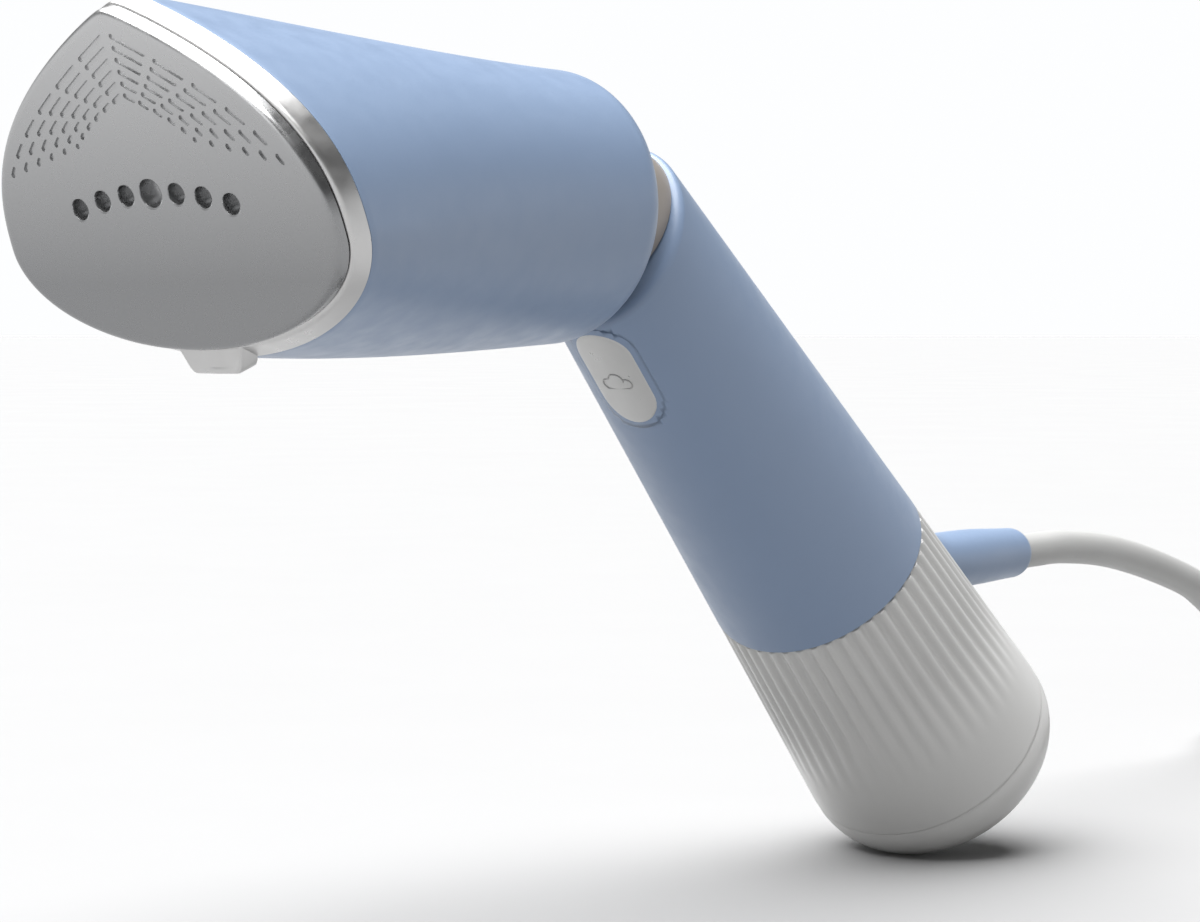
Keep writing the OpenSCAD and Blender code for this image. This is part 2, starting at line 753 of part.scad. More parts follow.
module base_screws() {
    color("slategray") at_handle() base_screw_places() {
        translate([0, 0, 8.1]) cylinder(r = 2.4, h = 1.8);
        translate([0, 0, 9]) cylinder(r = 1.3, h = 1 + base_t);
    }
}

module air_valve() {
    color("firebrick") at_handle() translate([-9, 0, 0]) {
        translate([0, 0, base_top - 1.2]) cylinder(r = 3, h = 1.15);
        translate([0, 0, base_top - 0.1]) cylinder(r = 2.1, h = bung_end - base_top + 1.6);
    }
}

module tank_seal() {
    color("black") at_handle() translate([0, 0, seal_d]) rotate_extrude()
        translate([mouth_r - 1.75 - seal_r, 0]) circle(r = seal_r, $fn = 24);
}

module suction_tube() {
    color("whitesmoke") at_handle() translate([pump_x, 0, bung_end]) difference() {
        cylinder(r = 2.3, h = tank_end - 12 - bung_end);
        translate([0, 0, -1]) cylinder(r = 1.5, h = 120);
    }
}

module suction_filter() {
    color("dimgray") at_handle() translate([pump_x, 0, tank_end - 12]) difference() {
        cylinder(r = 4.4, h = 7);
        translate([0, 0, -1]) cylinder(r = 1.5, h = 6);
        for (a = [0:60:300]) rotate(a) translate([0, 0, 5]) rotate([0, 90, 0]) cylinder(r = 0.7, h = 8, $fn = 16);
    }
}

// ---- water tank ----

module tank_foot_profile(less) {
    r = tank_round - less;
    top = handle_len;
    intersection() {
        union() {
            polygon([[0, top], [cone_r(top) - less, top],
                [cone_r(foot_centre_d) - less, foot_centre_d], [0, foot_centre_d]]);
            translate([foot_centre_r, foot_centre_d]) circle(r = r, $fn = 96);
            translate([0, foot_centre_d - eps]) square([foot_centre_r, r + eps]);
        }
        translate([0, top]) square([80, 160]);
    }
}

// The tank is grooved at the back, so that it slides off past the cord guard
channel_r = guard_r + 0.45;
channel_l = 47;

module tank_channel(grow) {
    translate([-guard_off, 0, handle_len - 2]) cylinder(r = channel_r + grow, h = channel_l + 2 + grow);
    translate([-guard_off - 30, -channel_r - grow, handle_len - 2])
        cube([30, 2 * (channel_r + grow), channel_l + 2 + grow]);
}

module tank_shell() {
    color("gainsboro", 0.6) at_handle() difference() {
        union() {
            rotate_extrude($fn = 96) tank_foot_profile(0);
            translate([0, 0, mouth_start + fit]) cylinder(r = mouth_r, h = mouth_l + 1);
        }
        difference() {
            rotate_extrude() tank_foot_profile(tank_wall + flute_depth);
            translate([0, 0, handle_len - 1]) cylinder(r = 60, h = 1 + tank_wall + fit);
            tank_channel(tank_wall);
        }
        tank_channel(0);
        translate([0, 0, mouth_start]) cylinder(r = mouth_r - 1.7, h = mouth_l + 6);
        translate([0, 0, handle_len - eps]) difference() {
            cylinder(r = 60, h = fit);
            cylinder(r = mouth_r, h = fit);
        }
        for (i = [0:flutes - 1]) if (abs(360 * i / flutes - 180) > 24) rotate(360 * i / flutes)
            translate([cone_r(handle_len) + 1.5 - flute_depth, 0, handle_len - 1])
            rotate([0, atan(grip_flare), 0]) cylinder(r = 1.5, h = foot_centre_d - handle_len - 8, $fn = 16);
    }
}

// ---- cord ----

// Middle line of the cord guard in the handle's frame: down beside the tank, then round to level
function guard_arc(a) = guard_level_start + guard_turn * [1 - cos(a), 0, sin(a)] - [guard_turn * 2
    * (1 - cos(a)), 0, 0];
guard_out = [-sin(bend_angle), 0, cos(bend_angle)];
guard_tangent = guard_turn * tan(bend_angle / 2);
// Where the straight run meets the level run, and where the turn begins
guard_corner = guard_end - guard_out * ((guard_end[0] + guard_off + 0.4) / guard_out[0]);
guard_level_start = [guard_corner[0], 0, guard_corner[2] - guard_tangent];
guard_route = concat([[-guard_off + 6.5, 0, handle_len - 31], [-guard_off + 2.7, 0, handle_len - 21],
    [-guard_off + 0.7, 0, handle_len - 11], [-guard_off, 0, handle_len], [-guard_off - 0.3, 0, handle_len + 8]],
    [for (a = [0:11:44]) guard_arc(a * bend_angle / 44)],
    [for (t = [20, 14, 7, 3, 0]) guard_end - guard_out * t]);
guard_path = smooth_path(guard_route, 3);
guard_split = 30;                           // the boot starts here along the guard
guard_count = len(guard_path);
function guard_ring_r(i) = i <= guard_split ? guard_r : i >= guard_count - 1 ? guard_end_r - 1.6
    : i == guard_count - 2 ? guard_end_r - 0.7 : mix(guard_r + 0.3, guard_end_r,
    (i - guard_split) / (guard_count - guard_split));
guard_sides = carried(guard_path, guard_count - 1, side_of(heading(guard_path, 0)));
function guard_ring(i, r) = let (t = heading(guard_path, i), u = guard_sides[i], v = cross(t, u))
    [for (k = [0:19]) guard_path[i] + r * (u * cos(18 * k) + v * sin(18 * k))];
guard_bore = cord_d / 2 + 0.2;

module guard_piece(first, last) {
    ring_loft(concat([for (i = [first:last]) guard_ring(i, guard_ring_r(i))],
        [for (i = [last:-1:first]) guard_ring(i, guard_bore)]));
}

module cord_outlet() {
    color("lightsteelblue") at_handle() difference() {
        guard_piece(0, guard_split);
        handle_cone(60, handle_len + seat, seat);
    }
}

module cord_boot() {
    color("lightsteelblue") at_handle() guard_piece(guard_split, guard_count - 1);
}

module cord_clamp() {
    color("dimgray") at_handle() difference() {
        translate([web_x - 5.6, -9, clamp_d]) cube([5.55, 18, 5]);
        translate([web_x - 1.5, 0, clamp_d - 1]) cylinder(r = 3, h = 12);
        for (y = [-6.5, 6.5]) translate([-30, y, clamp_d + 2.5]) rotate([0, 90, 0])
            cylinder(r = 1.25 + seat, h = 30);
    }
}

module clamp_screws() {
    color("slategray") at_handle() for (y = [-6.5, 6.5]) translate([web_x - 5.65, y, clamp_d + 2.5])
        rotate([0, 90, 0]) {
            translate([0, 0, -1.5]) cylinder(r = 2.2, h = 1.5);
            cylinder(r = 1.25, h = 7.4);
        }
}

// The cord's own route, in the part's frame
floor_z = cord_d / 2;
coil_centre = [357, -18];
coil_inner = 30.3;
coil_outer = 56.4;
coil_height = 17.4;
boot_tip = boot_end + [origin_shift, 0, bend_height];
lead_points = [[160, 0, 68], [172, 0, 68], [194, 0, 66], [215, 0, 62], [238, 0, 56], [250, 0, 51.5],
    [270, 2.5, 42], [290, 10, 31.5], [308, 20.5, 22], [322, 29, 14], [336, 35, 8], [350, 37, 5], [366, 33.2, 4.4],
    [378, 28, 4.4]];
tail_points = [[357, -70, 12.9], [341, -69.4, 13.3], [325, -66, 15], [310, -60.5, 17.3], [296, -56.5, 18.4],
    [284, -55.5, 18.5]];
plug_at = [284, -55.5, 18.5];

module cord_lead() {
    color("lightgray") difference() {
        tube(smooth_path(concat([boot_tip - [0.05, 0, 0]], lead_points), 3), [cord_d / 2, cord_d / 2]);
        coil_round(0);
    }
}

module coil_round(grow) {
    translate([coil_centre[0], coil_centre[1], -grow]) rotate_extrude()
        translate([coil_inner, 0]) square([coil_outer - coil_inner, coil_height + 2 * grow]);
}

module cord_coil() {
    color("lightgray") coil_round(0);
}

module cord_tail() {
    color("lightgray") difference() {
        tube(smooth_path(tail_points, 2), [cord_d / 2, cord_d / 2]);
        coil_round(0);
    }
}

// z runs out of the plug's pin face
module at_plug() {
    translate(plug_at) rotate([0, -90, 0]) children();
}

plug_neck_l = 18;
// Each pin is held in the body by a thinner root
pin_root_r = pin_r - 0.6;
plug_body_l = 24;

module plug_body() {
    color("lightgray") at_plug() difference() {
        union() {
            cylinder(r1 = 6, r2 = 9.5, h = plug_neck_l);
            translate([0, 0, plug_neck_l]) cylinder(r1 = 13.5, r2 = plug_r, h = 7);
            translate([0, 0, plug_neck_l + 7]) cylinder(r = plug_r, h = plug_body_l - 7);
        }
        for (side = [-1, 1]) translate([0, side * pin_pitch / 2, plug_neck_l + plug_body_l - 6])
            cylinder(r = pin_root_r + seat, h = 10);
    }
}

module plug_pins() {
    color("silver") at_plug() for (side = [-1, 1])
        translate([0, side * pin_pitch / 2, plug_neck_l + plug_body_l]) {
            cylinder(r = pin_r, h = pin_l);
            translate([0, 0, -6]) cylinder(r = pin_root_r, h = 6.5);
        }
}

soleplate();
plate_seal();
front_band();
head_shell();
boiler_block();
boiler_cover();
cover_gasket();
heating_element();
thermostat();
thermal_fuse();
cover_screws();
insulating_frame();
frame_screws();
steam_inlet();
steam_hose();
swivel_neck();
neck_screws();
retaining_ring();
spring_washer();
bearing_plate();
detent_ball();
detent_spring();
handle_shell();
handle_chassis();
trigger_bezel();
steam_trigger();
trigger_spring();
micro_switch();
pump_barrel();
pump_coil();
pump_grommets();
feed_hose();
suction_hose();
control_board();
board_parts();
handle_base();
base_screws();
air_valve();
tank_seal();
suction_tube();
suction_filter();
tank_shell();
cord_outlet();
cord_clamp();
clamp_screws();
cord_boot();
cord_lead();
cord_coil();
cord_tail();
plug_body();
plug_pins();
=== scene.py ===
import bpy
import json
import math
from mathutils import Vector, Matrix
from mathutils.geometry import tessellate_polygon


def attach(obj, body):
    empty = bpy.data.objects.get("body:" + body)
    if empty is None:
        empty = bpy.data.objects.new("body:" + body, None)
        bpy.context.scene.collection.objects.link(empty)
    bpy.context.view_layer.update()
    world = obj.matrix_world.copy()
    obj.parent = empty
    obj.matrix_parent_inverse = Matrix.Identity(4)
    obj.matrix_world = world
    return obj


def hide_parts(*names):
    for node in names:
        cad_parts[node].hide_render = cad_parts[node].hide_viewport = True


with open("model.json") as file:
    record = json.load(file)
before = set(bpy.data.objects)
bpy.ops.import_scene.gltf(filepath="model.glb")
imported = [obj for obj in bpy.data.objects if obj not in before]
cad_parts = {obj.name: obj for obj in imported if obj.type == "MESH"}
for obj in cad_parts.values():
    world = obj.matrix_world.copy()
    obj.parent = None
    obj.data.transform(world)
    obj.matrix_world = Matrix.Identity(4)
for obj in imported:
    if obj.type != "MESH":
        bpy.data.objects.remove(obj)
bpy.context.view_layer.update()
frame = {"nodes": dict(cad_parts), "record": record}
MM = 0.001


# ---------------------------------------------------------------- sizes, in mm
BEND = 43.6
HEAD_REACH = 120.2
PLATE_SINK = 4.9
PLATE_LEAN = 20.8
PLATE_W = 80.2
PLATE_TOP = 42.0
PLATE_FOOT = 19.4
PLATE_BELLY = -5.6
PLATE_T = 3.0
HOLE_R = 1.85
MAIN_HOLE_R = 2.5
HOLE_STEP = 6.2
HEAD_R = 27.2
HEAD_ROUND = 7.0
HEAD_GAP = 9.2
BAND_FACE = PLATE_T + 0.4
SHELL_FACE = BAND_FACE + 4.8
FOOT_SWELL = 3.5
TOP_CUT = 5.6
NECK_R = 15.6
GRIP_R = 17.85
FLARE = 0.0705
HANDLE_LEN = 111.4
TANK_LEN = 79.0
TANK_ROUND = 14.7
TRIG_AT = 29.0
TRIG_L = 25.0
TRIG_W = 14.0
CORD_D = 8.5
FLUTES = 46
MOUTH_R = 17.0

TANK_END = HANDLE_LEN + TANK_LEN
SWIVEL = BEND / 2


def sin(a):
    return math.sin(math.radians(a))


def cos(a):
    return math.cos(math.radians(a))


def cone_r(d):
    return GRIP_R + FLARE * d


FOOT_D = TANK_END - TANK_ROUND
FOOT_R = cone_r(FOOT_D) - TANK_ROUND
GUARD_R = CORD_D / 2 + 2.25
GUARD_OFF = cone_r(HANDLE_LEN) - 1.2
GUARD_END = Vector((-GUARD_OFF - 34, 0, HANDLE_LEN + 64.9))
bend_height = FOOT_D * sin(BEND) + FOOT_R * cos(BEND) + TANK_ROUND
boot_x = GUARD_END.z * cos(BEND) - GUARD_END.x * sin(BEND)
boot_z = -GUARD_END.z * sin(BEND) - GUARD_END.x * cos(BEND)
front_x = -HEAD_REACH - (PLATE_BELLY + PLATE_TOP - 1) * sin(PLATE_LEAN)
shift_x = -(front_x + boot_x) / 2
K = Vector((shift_x, 0, bend_height))


def turned(angle, at):
    return Matrix.Translation(at) @ Matrix.Rotation(math.radians(angle), 4, "Y")


HANDLE = turned(90 + BEND, K)
SWIV = turned(90 + SWIVEL, K)
PLATE = turned(-(90 + PLATE_LEAN), K + Vector((-HEAD_REACH, 0, -PLATE_SINK)))
WORLD = Matrix.Identity(4)


# ---------------------------------------------------------------- camera
def make_camera():
    cam = bpy.data.cameras.new("camera")
    obj = bpy.data.objects.new("camera", cam)
    bpy.context.scene.collection.objects.link(obj)
    right = Vector((0.6198, -0.7848, 0.0)).normalized()
    back = Vector((-0.7840, -0.6192, 0.0435)).normalized()
    up = back.cross(right).normalized()
    m = Matrix((right, up, back)).transposed().to_4x4()
    m.translation = (Vector((-477.1, -378.7, -24.4)) + K) * MM
    obj.matrix_world = m
    cam.sensor_width = 36.0
    cam.sensor_fit = "HORIZONTAL"
    cam.lens = 90.03
    cam.clip_start = 0.01
    cam.clip_end = 60
    bpy.context.scene.camera = obj
    return obj


camera = make_camera()


# ---------------------------------------------------------------- mesh helpers
def new_mesh(name, verts, faces, space=WORLD, sharp=32, mat_index=None):
    me = bpy.data.meshes.new(name)
    me.from_pydata([(space @ Vector(v)) * MM for v in verts], [], faces)
    me.validate()
    for p in me.polygons:
        p.use_smooth = True
    if mat_index:
        for i, p in enumerate(me.polygons):
            p.material_index = mat_index[i] if i < len(mat_index) else 0
    me.update()
    if sharp:
        me.set_sharp_from_angle(angle=math.radians(sharp))
    obj = bpy.data.objects.new(name, me)
    bpy.context.scene.collection.objects.link(obj)
    return obj


class Build:
    """Collects rings and faces of one mesh."""

    def __init__(self):
        self.v = []
        self.f = []
        self.m = []

    def ring(self, pts):
        start = len(self.v)
        self.v.extend(tuple(p) for p in pts)
        return list(range(start, len(self.v)))

    def face(self, idx, mat=0):
        self.f.append(tuple(idx))
        self.m.append(mat)

    def skin(self, a, b, mat=0, flip=False, closed=True):
        n = len(a)
        for k in range(n if closed else n - 1):
            j = (k + 1) % n
            q = (a[k], a[j], b[j], b[k])
            self.face(q[::-1] if flip else q, mat)

    def loft(self, rings, mat=0, flip=False):
        ids = [self.ring(r) for r in rings]
        for a, b in zip(ids, ids[1:]):
            self.skin(a, b, mat, flip)
        return ids

    def cap(self, ring, mat=0, flip=False):
        self.face(ring[::-1] if flip else ring, mat)

    def make(self, name, space=WORLD, sharp=32):
        return new_mesh(name, self.v, self.f, space, sharp, self.m)


def lathe(profile, n=72):
    """Rings of a turned shape: profile is (radius, z) pairs."""
    return [[(r * math.cos(2 * math.pi * k / n), r * math.sin(2 * math.pi * k / n), z)
             for k in range(n)] for r, z in profile]


def catmull(a, b, c, d, t):
    return 0.5 * (2 * b + (c - a) * t + (2 * a - 5 * b + 4 * c - d) * t * t
                  + (3 * b - a - 3 * c + d) * t * t * t)


def smooth_path(pts, steps):
    pts = [Vector(p) for p in pts]
    out = []
    for i in range(len(pts) - 1):
        a, b = pts[max(i - 1, 0)], pts[i]
        c, d = pts[i + 1], pts[min(i + 2, len(pts) - 1)]
        for s in range(steps):
            out.append(catmull(a, b, c, d, s / steps))
    return out + [pts[-1]]


def carried_frames(path, first=Vector((0, 1, 0))):
    frames = []
    side = first
    for i, p in enumerate(path):
        t = (path[min(i + 1, len(path) - 1)] - path[max(i - 1, 0)]).normalized()
        side = (side - t * side.dot(t)).normalized()
        frames.append((p, side, t.cross(side)))
    return frames


def tube_rings(path, radius, n=32):
    return [[p + radius[i] * (u * math.cos(2 * math.pi * k / n) + v * math.sin(2 * math.pi * k / n))
             for k in range(n)] for i, (p, u, v) in enumerate(carried_frames(path))]


def curve_line(name, pts, radius, space=WORLD, cyclic=False, res=6):
    cu = bpy.data.curves.new(name, "CURVE")
    cu.dimensions = "3D"
    sp = cu.splines.new("POLY")
    sp.points.add(len(pts) - 1)
    for q, p in zip(sp.points, pts):
        w = (space @ Vector(p)) * MM
        q.co = (w.x, w.y, w.z, 1)
    sp.use_cyclic_u = cyclic
    sp.use_smooth = True
    cu.bevel_depth = radius * MM
    cu.bevel_resolution = res
    cu.use_fill_caps = not cyclic
    obj = bpy.data.objects.new(name, cu)
    bpy.context.scene.collection.objects.link(obj)
    return obj


# ---------------------------------------------------------------- materials
def lin(r, g, b):
    out = []
    for c in (r, g, b):
        c /= 255
        out.append(c / 12.92 if c <= 0.04045 else ((c + 0.055) / 1.055) ** 2.4)
    return out


class Mat:
    """A procedural material: colour drift, roughness drift and a fine bump in object space."""

    def __init__(self, name, colour, rough=0.4, metal=0.0, drift=0.06, drift_scale=18,
                 grain=2600, bump=0.06, rough_drift=0.06, **sockets):
        self.mat = bpy.data.materials.new(name)
        self.mat.use_nodes = True
        nt = self.mat.node_tree
        self.nodes, self.links = nt.nodes, nt.links
        self.bsdf = next(n for n in self.nodes if n.type == "BSDF_PRINCIPLED")
        self.coord = self.nodes.new("ShaderNodeTexCoord").outputs["Object"]
        b = self.bsdf.inputs
        b["Metallic"].default_value = metal
        for key, value in sockets.items():
            b[key.replace("_", " ")].default_value = value
        big = self.noise(drift_scale, 3)
        fine = self.noise(grain, 2)
        mid = self.noise(grain / 12, 4)
        light = [min(1, c * (1 + drift)) for c in colour] + [1]
        dark = [c * (1 - drift) for c in colour] + [1]
        self.colour = self.mix(self.span(big, 0.3, 0.7), dark, light)
        self.links.new(self.colour, b["Base Color"])
        rr = self.remap(mid, rough - rough_drift, rough + rough_drift)
        self.links.new(rr, b["Roughness"])
        self.bump(fine, bump, 0.00005)

    def noise(self, scale, detail, vector=None):
        n = self.nodes.new("ShaderNodeTexNoise")
        n.inputs["Scale"].default_value = scale
        n.inputs["Detail"].default_value = detail
        self.links.new(vector or self.coord, n.inputs["Vector"])
        return n.outputs["Fac"]

    def span(self, value, lo, hi):
        return self.remap(value, 0, 1, lo, hi)

    def remap(self, value, a, b, lo=0.3, hi=0.7):
        n = self.nodes.new("ShaderNodeMapRange")
        n.clamp = True
        for key, v in (("From Min", lo), ("From Max", hi), ("To Min", a), ("To Max", b)):
            n.inputs[key].default_value = v
        self.links.new(value, n.inputs["Value"])
        return n.outputs["Result"]

    def mix(self, fac, a, b):
        n = self.nodes.new("ShaderNodeMix")
        n.data_type = "RGBA"
        for sock, v in ((n.inputs[6], a), (n.inputs[7], b)):
            if isinstance(v, (list, tuple)):
                sock.default_value = list(v)[:4] if len(v) > 3 else list(v) + [1]
            else:
                self.links.new(v, sock)
        self.links.new(fac, n.inputs[0])
        return n.outputs[2]

    def bump(self, height, strength, distance):
        n = self.nodes.new("ShaderNodeBump")
        n.inputs["Strength"].default_value = strength
        n.inputs["Distance"].default_value = distance
        self.links.new(height, n.inputs["Height"])
        if self.bsdf.inputs["Normal"].is_linked:
            self.links.new(self.bsdf.inputs["Normal"].links[0].from_socket, n.inputs["Normal"])
        self.links.new(n.outputs["Normal"], self.bsdf.inputs["Normal"])

    def along(self, direction, origin=(0, 0, 0)):
        """Distance along a direction, in metres."""
        sub = self.nodes.new("ShaderNodeVectorMath")
        sub.operation = "SUBTRACT"
        sub.inputs[1].default_value = origin
        self.links.new(self.coord, sub.inputs[0])
        dot = self.nodes.new("ShaderNodeVectorMath")
        dot.operation = "DOT_PRODUCT"
        dot.inputs[1].default_value = direction
        self.links.new(sub.outputs[0], dot.inputs[0])
        return dot.outputs["Value"]

    def squeezed(self, direction, keep):
        """Object coordinates squeezed across a direction, for streaks that run across it."""
        along = self.along(direction)
        comb = self.nodes.new("ShaderNodeCombineXYZ")
        self.links.new(along, comb.inputs["X"])
        sc = self.nodes.new("ShaderNodeVectorMath")
        sc.operation = "SCALE"
        sc.inputs["Scale"].default_value = keep
        self.links.new(self.coord, sc.inputs[0])
        add = self.nodes.new("ShaderNodeVectorMath")
        add.operation = "ADD"
        self.links.new(comb.outputs[0], add.inputs[0])
        self.links.new(sc.outputs[0], add.inputs[1])
        return add.outputs[0]


plate_normal = (PLATE.to_3x3() @ Vector((0, 0, 1)))[:]
plate_up = (PLATE.to_3x3() @ Vector((1, 0, 0)))[:]

M = {}
BLUE = (0.158, 0.213, 0.310)
M["body"] = Mat("moulded_blue", BLUE, 0.40, drift=0.02, grain=2400, bump=0.05, Specular_IOR_Level=0.45,
                Coat_Weight=0.12, Coat_Roughness=0.35)
M["plate"] = Mat("satin_plate", (0.42, 0.42, 0.425), 0.27, 0.95, drift=0.02, grain=3000, bump=0.04)
# Painted light and shade: the plate's base colour runs from dark at its foot to light at its top, standing in
# for light falling from above.
plate_middle = ((K.x - HEAD_REACH) * MM, 0, (K.z - PLATE_SINK) * MM)
plate_painted_light_mask = M["plate"].remap(M["plate"].along(plate_up, plate_middle), 0.0, 1.0, -0.012, 0.036)
plate_painted_light_colour = M["plate"].mix(plate_painted_light_mask, (0.24, 0.243, 0.248), (0.50, 0.502, 0.505))
M["plate"].links.new(plate_painted_light_colour, M["plate"].bsdf.inputs["Base Color"])
streak = M["plate"].noise(900, 3, M["plate"].squeezed(plate_up, 0.02))
M["plate"].bump(streak, 0.05, 0.00003)
# Painted shade: the walls and floors of the shallow dash grooves are darker than the plate, standing in for
# shade in the grooves.
M["engraved"] = Mat("groove_painted_shade", (0.13, 0.13, 0.135), 0.5, 0.6, grain=3000, bump=0.2)
# Painted shade: the steam holes' walls and the disc closing each hole are near-black navy, standing in for the
# shade inside the holes.
M["hole"] = Mat("hole_painted_shade", (0.012, 0.018, 0.035), 0.45, 0.2, grain=2000, bump=0.2)
M["rim"] = Mat("bright_rim", (0.72, 0.72, 0.72), 0.18, 1.0, drift=0.02, grain=3000, bump=0.03)
M["band"] = Mat("brushed_band", (0.52, 0.518, 0.515), 0.32, 0.95, drift=0.02, grain=3000, bump=0.03)
streak = M["band"].noise(5200, 3, M["band"].squeezed(plate_normal, 0.012))
M["band"].bump(streak, 0.07, 0.00003)
M["neck"] = Mat("warm_grey_neck", lin(140, 134, 128), 0.38, 0.15, drift=0.03, bump=0.06)
M["trigger"] = Mat("silver_trigger", lin(176, 176, 175), 0.33, 0.55, drift=0.03, grain=3600, bump=0.08)
M["icon"] = Mat("raised_icon", lin(150, 150, 149), 0.4, 0.3, grain=3600, bump=0.08)
# Painted shade: a near-black material for the trigger's bezel ring, standing in for the shaded gap round the
# trigger.
M["dark"] = Mat("bezel_gap_painted_shade", (0.02, 0.021, 0.024), 0.5, drift=0.1, bump=0.15)
M["tank"] = Mat("frosted_tank", (0.43, 0.428, 0.42), 0.32, drift=0.01, grain=1800, bump=0.03, rough_drift=0.03,
                IOR=1.45, Coat_Weight=0.35, Coat_Roughness=0.16)
M["cord"] = Mat("cord_jacket", lin(152, 152, 151), 0.46, drift=0.03, grain=1600, bump=0.12)
M["pin"] = Mat("nickel_pin", (0.66, 0.65, 0.62), 0.22, 1.0, drift=0.04, bump=0.05)
M["cast"] = Mat("cast_aluminium", (0.45, 0.45, 0.45), 0.55, 0.8, drift=0.08, grain=900, bump=0.5)
M["seal"] = Mat("silicone_seal", (0.22, 0.035, 0.025), 0.5, drift=0.05, bump=0.15)
M["black_rubber"] = Mat("black_rubber", (0.02, 0.02, 0.02), 0.6, drift=0.1, bump=0.3)
M["steel"] = Mat("zinc_screw", (0.55, 0.56, 0.58), 0.32, 1.0, drift=0.08, grain=1500, bump=0.2)
M["brass"] = Mat("turned_brass", (0.62, 0.42, 0.15), 0.3, 1.0, drift=0.06, bump=0.1)
M["ceramic"] = Mat("ceramic_body", (0.75, 0.72, 0.64), 0.5, drift=0.04, bump=0.2)
M["hose"] = Mat("silicone_hose", (0.72, 0.72, 0.70), 0.35, drift=0.03, bump=0.1, Transmission_Weight=0.3)
M["inner"] = Mat("inner_plastic", (0.05, 0.053, 0.058), 0.5, drift=0.08, bump=0.2)
M["light_plastic"] = Mat("pale_plastic", (0.60, 0.60, 0.59), 0.42, drift=0.04, bump=0.1)
M["winding"] = Mat("copper_winding", (0.42, 0.14, 0.05), 0.3, 0.9, drift=0.1, bump=0.1)
wind = M["winding"].noise(6000, 1, M["winding"].squeezed((HANDLE.to_3x3() @ Vector((0, 0, 1)))[:], 0.005))
M["winding"].bump(wind, 0.6, 0.0001)
M["board"] = Mat("circuit_board", (0.015, 0.13, 0.05), 0.35, drift=0.15, grain=700, bump=0.4)
M["parts"] = Mat("board_parts", (0.28, 0.16, 0.04), 0.4, drift=0.2, drift_scale=160, bump=0.2)
M["tie"] = Mat("tie_strap", lin(70, 72, 76), 0.6, drift=0.05, grain=1500, bump=0.4)


def paint(obj, *names):
    obj.data.materials.clear()
    for n in names:
        obj.data.materials.append(M[n].mat)
    return obj


def place(obj, body, slot, *nodes):
    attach(obj, body)
    if nodes:
        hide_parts(*nodes)
    return obj


# ---------------------------------------------------------------- cord
boot_tip = K + Vector((boot_x, 0, boot_z))
coil_at = Vector((357, -18, 0))
LOW, HIGH = 4.3, 12.9
RADII = (52.0, 43.4, 34.8)


def step(x):
    x = min(1, max(0, x))
    return x * x * (3 - 2 * x)


def coil_state(turned_by):
    """Radius and height after this many degrees of winding."""
    turn, part = divmod(turned_by, 360)
    turn = int(turn)
    cross = step((part - 290) / 60)
    climb = step((part - 150) / 140)
    lift = HIGH - LOW
    if turn == 0:
        return RADII[0] + (RADII[1] - RADII[0]) * cross, LOW
    if turn == 1:
        return RADII[1] + (RADII[2] - RADII[1]) * cross, LOW
    if turn == 2:
        return RADII[2], LOW + (HIGH - LOW) * climb
    if turn == 3:
        over = climb if part < 290 else 1 - step((part - 290) / 130)
        return RADII[2] + (RADII[1] - RADII[2]) * cross, HIGH + lift * over
    if turn == 4:
        return RADII[1] + (RADII[0] - RADII[1]) * cross, HIGH + lift * (1 - step((part + 70) / 130))
    return RADII[0], HIGH


def coil_points():
    pts = []
    start = 80.0
    total = start + 90 + 360 * 5
    n = 328
    for i in range(n + 1):
        w = total * i / n
        r, z = coil_state(w)
        a = start - w
        pts.append(coil_at + Vector((r * cos(a), r * sin(a), z)))
    return pts


lead_pts = [boot_tip] + [Vector(p) for p in (
    (160, 0, 68), (172, 0, 68), (194, 0, 66), (215, 0, 62), (238, 0, 56), (250, 0, 51.5),
    (270, 2.5, 42), (290, 10, 31.5), (308, 20.5, 22), (322, 29, 14), (336, 35, 8), (350, 37, 5))]
tail_pts = [Vector(p) for p in ((341, -69.4, 13.3), (325, -66, 15), (310, -60.5, 17.3), (296, -56.5, 18.4),
                                (284, -55.5, 18.5), (280, -55.5, 18.5))]
coil = coil_points()
cord_path = smooth_path(lead_pts + [coil[0], coil[1]], 6)[:-6] + coil[1:-1]
cord_path += smooth_path([coil[-2], coil[-1]] + tail_pts, 5)
cord = curve_line("mains_cord", cord_path, CORD_D / 2, res=7)
paint(cord, "cord")
cord_len = sum((b - a).length for a, b in zip(cord_path, cord_path[1:]))
place(cord, "handle", "cord", "cord_lead", "cord_coil", "cord_tail")


# ---------------------------------------------------------------- plug and tie
PLUG = turned(-90, Vector((284, -55.5, 18.5)))


def make_plug():
    b = Build()
    prof = [(4.4, -0.2), (5.4, 0), (5.9, 0.5), (6.0, 1.2)]
    z = 2.4
    for i in range(4):
        r = 6.3 + 0.75 * i
        prof += [(r, z), (r, z + 1.7), (r - 0.9, z + 1.9), (r - 0.9, z + 3.0), (r + 0.3, z + 3.2)]
        z += 3.9
    prof += [(9.5, 18), (12.4, 18.2), (13.4, 18.8), (14.2, 20), (17.6, 24.2), (18.3, 25.6), (18.5, 27.4)]
    prof += [(18.5, 39.6), (18.3, 40.8), (17.8, 41.6), (17.0, 42.0), (14.5, 42.0), (14.2, 41.7), (13.6, 41.7),
             (0.05, 41.7)]
    ids = b.loft(lathe(prof, 96))
    b.cap(ids[0], flip=True)
    return b.make("plug", PLUG, 30)


plug = paint(make_plug(), "cord")
place(plug, "handle", "cord", "plug_body")


def make_pins():
    b = Build()
    for side in (-1, 1):
        prof = [(0.05, 61.0), (1.0, 60.9), (1.7, 60.5), (2.15, 59.8), (2.4, 58.8), (2.4, 50), (2.4, 41)]
        b.loft([[(x, y + side * 9.5, z) for x, y, z in r] for r in lathe(prof, 40)], flip=True)
    return b.make("pins", PLUG, 40)


pins = paint(make_pins(), "pin")
place(pins, "handle", "pin_metal", "plug_pins")


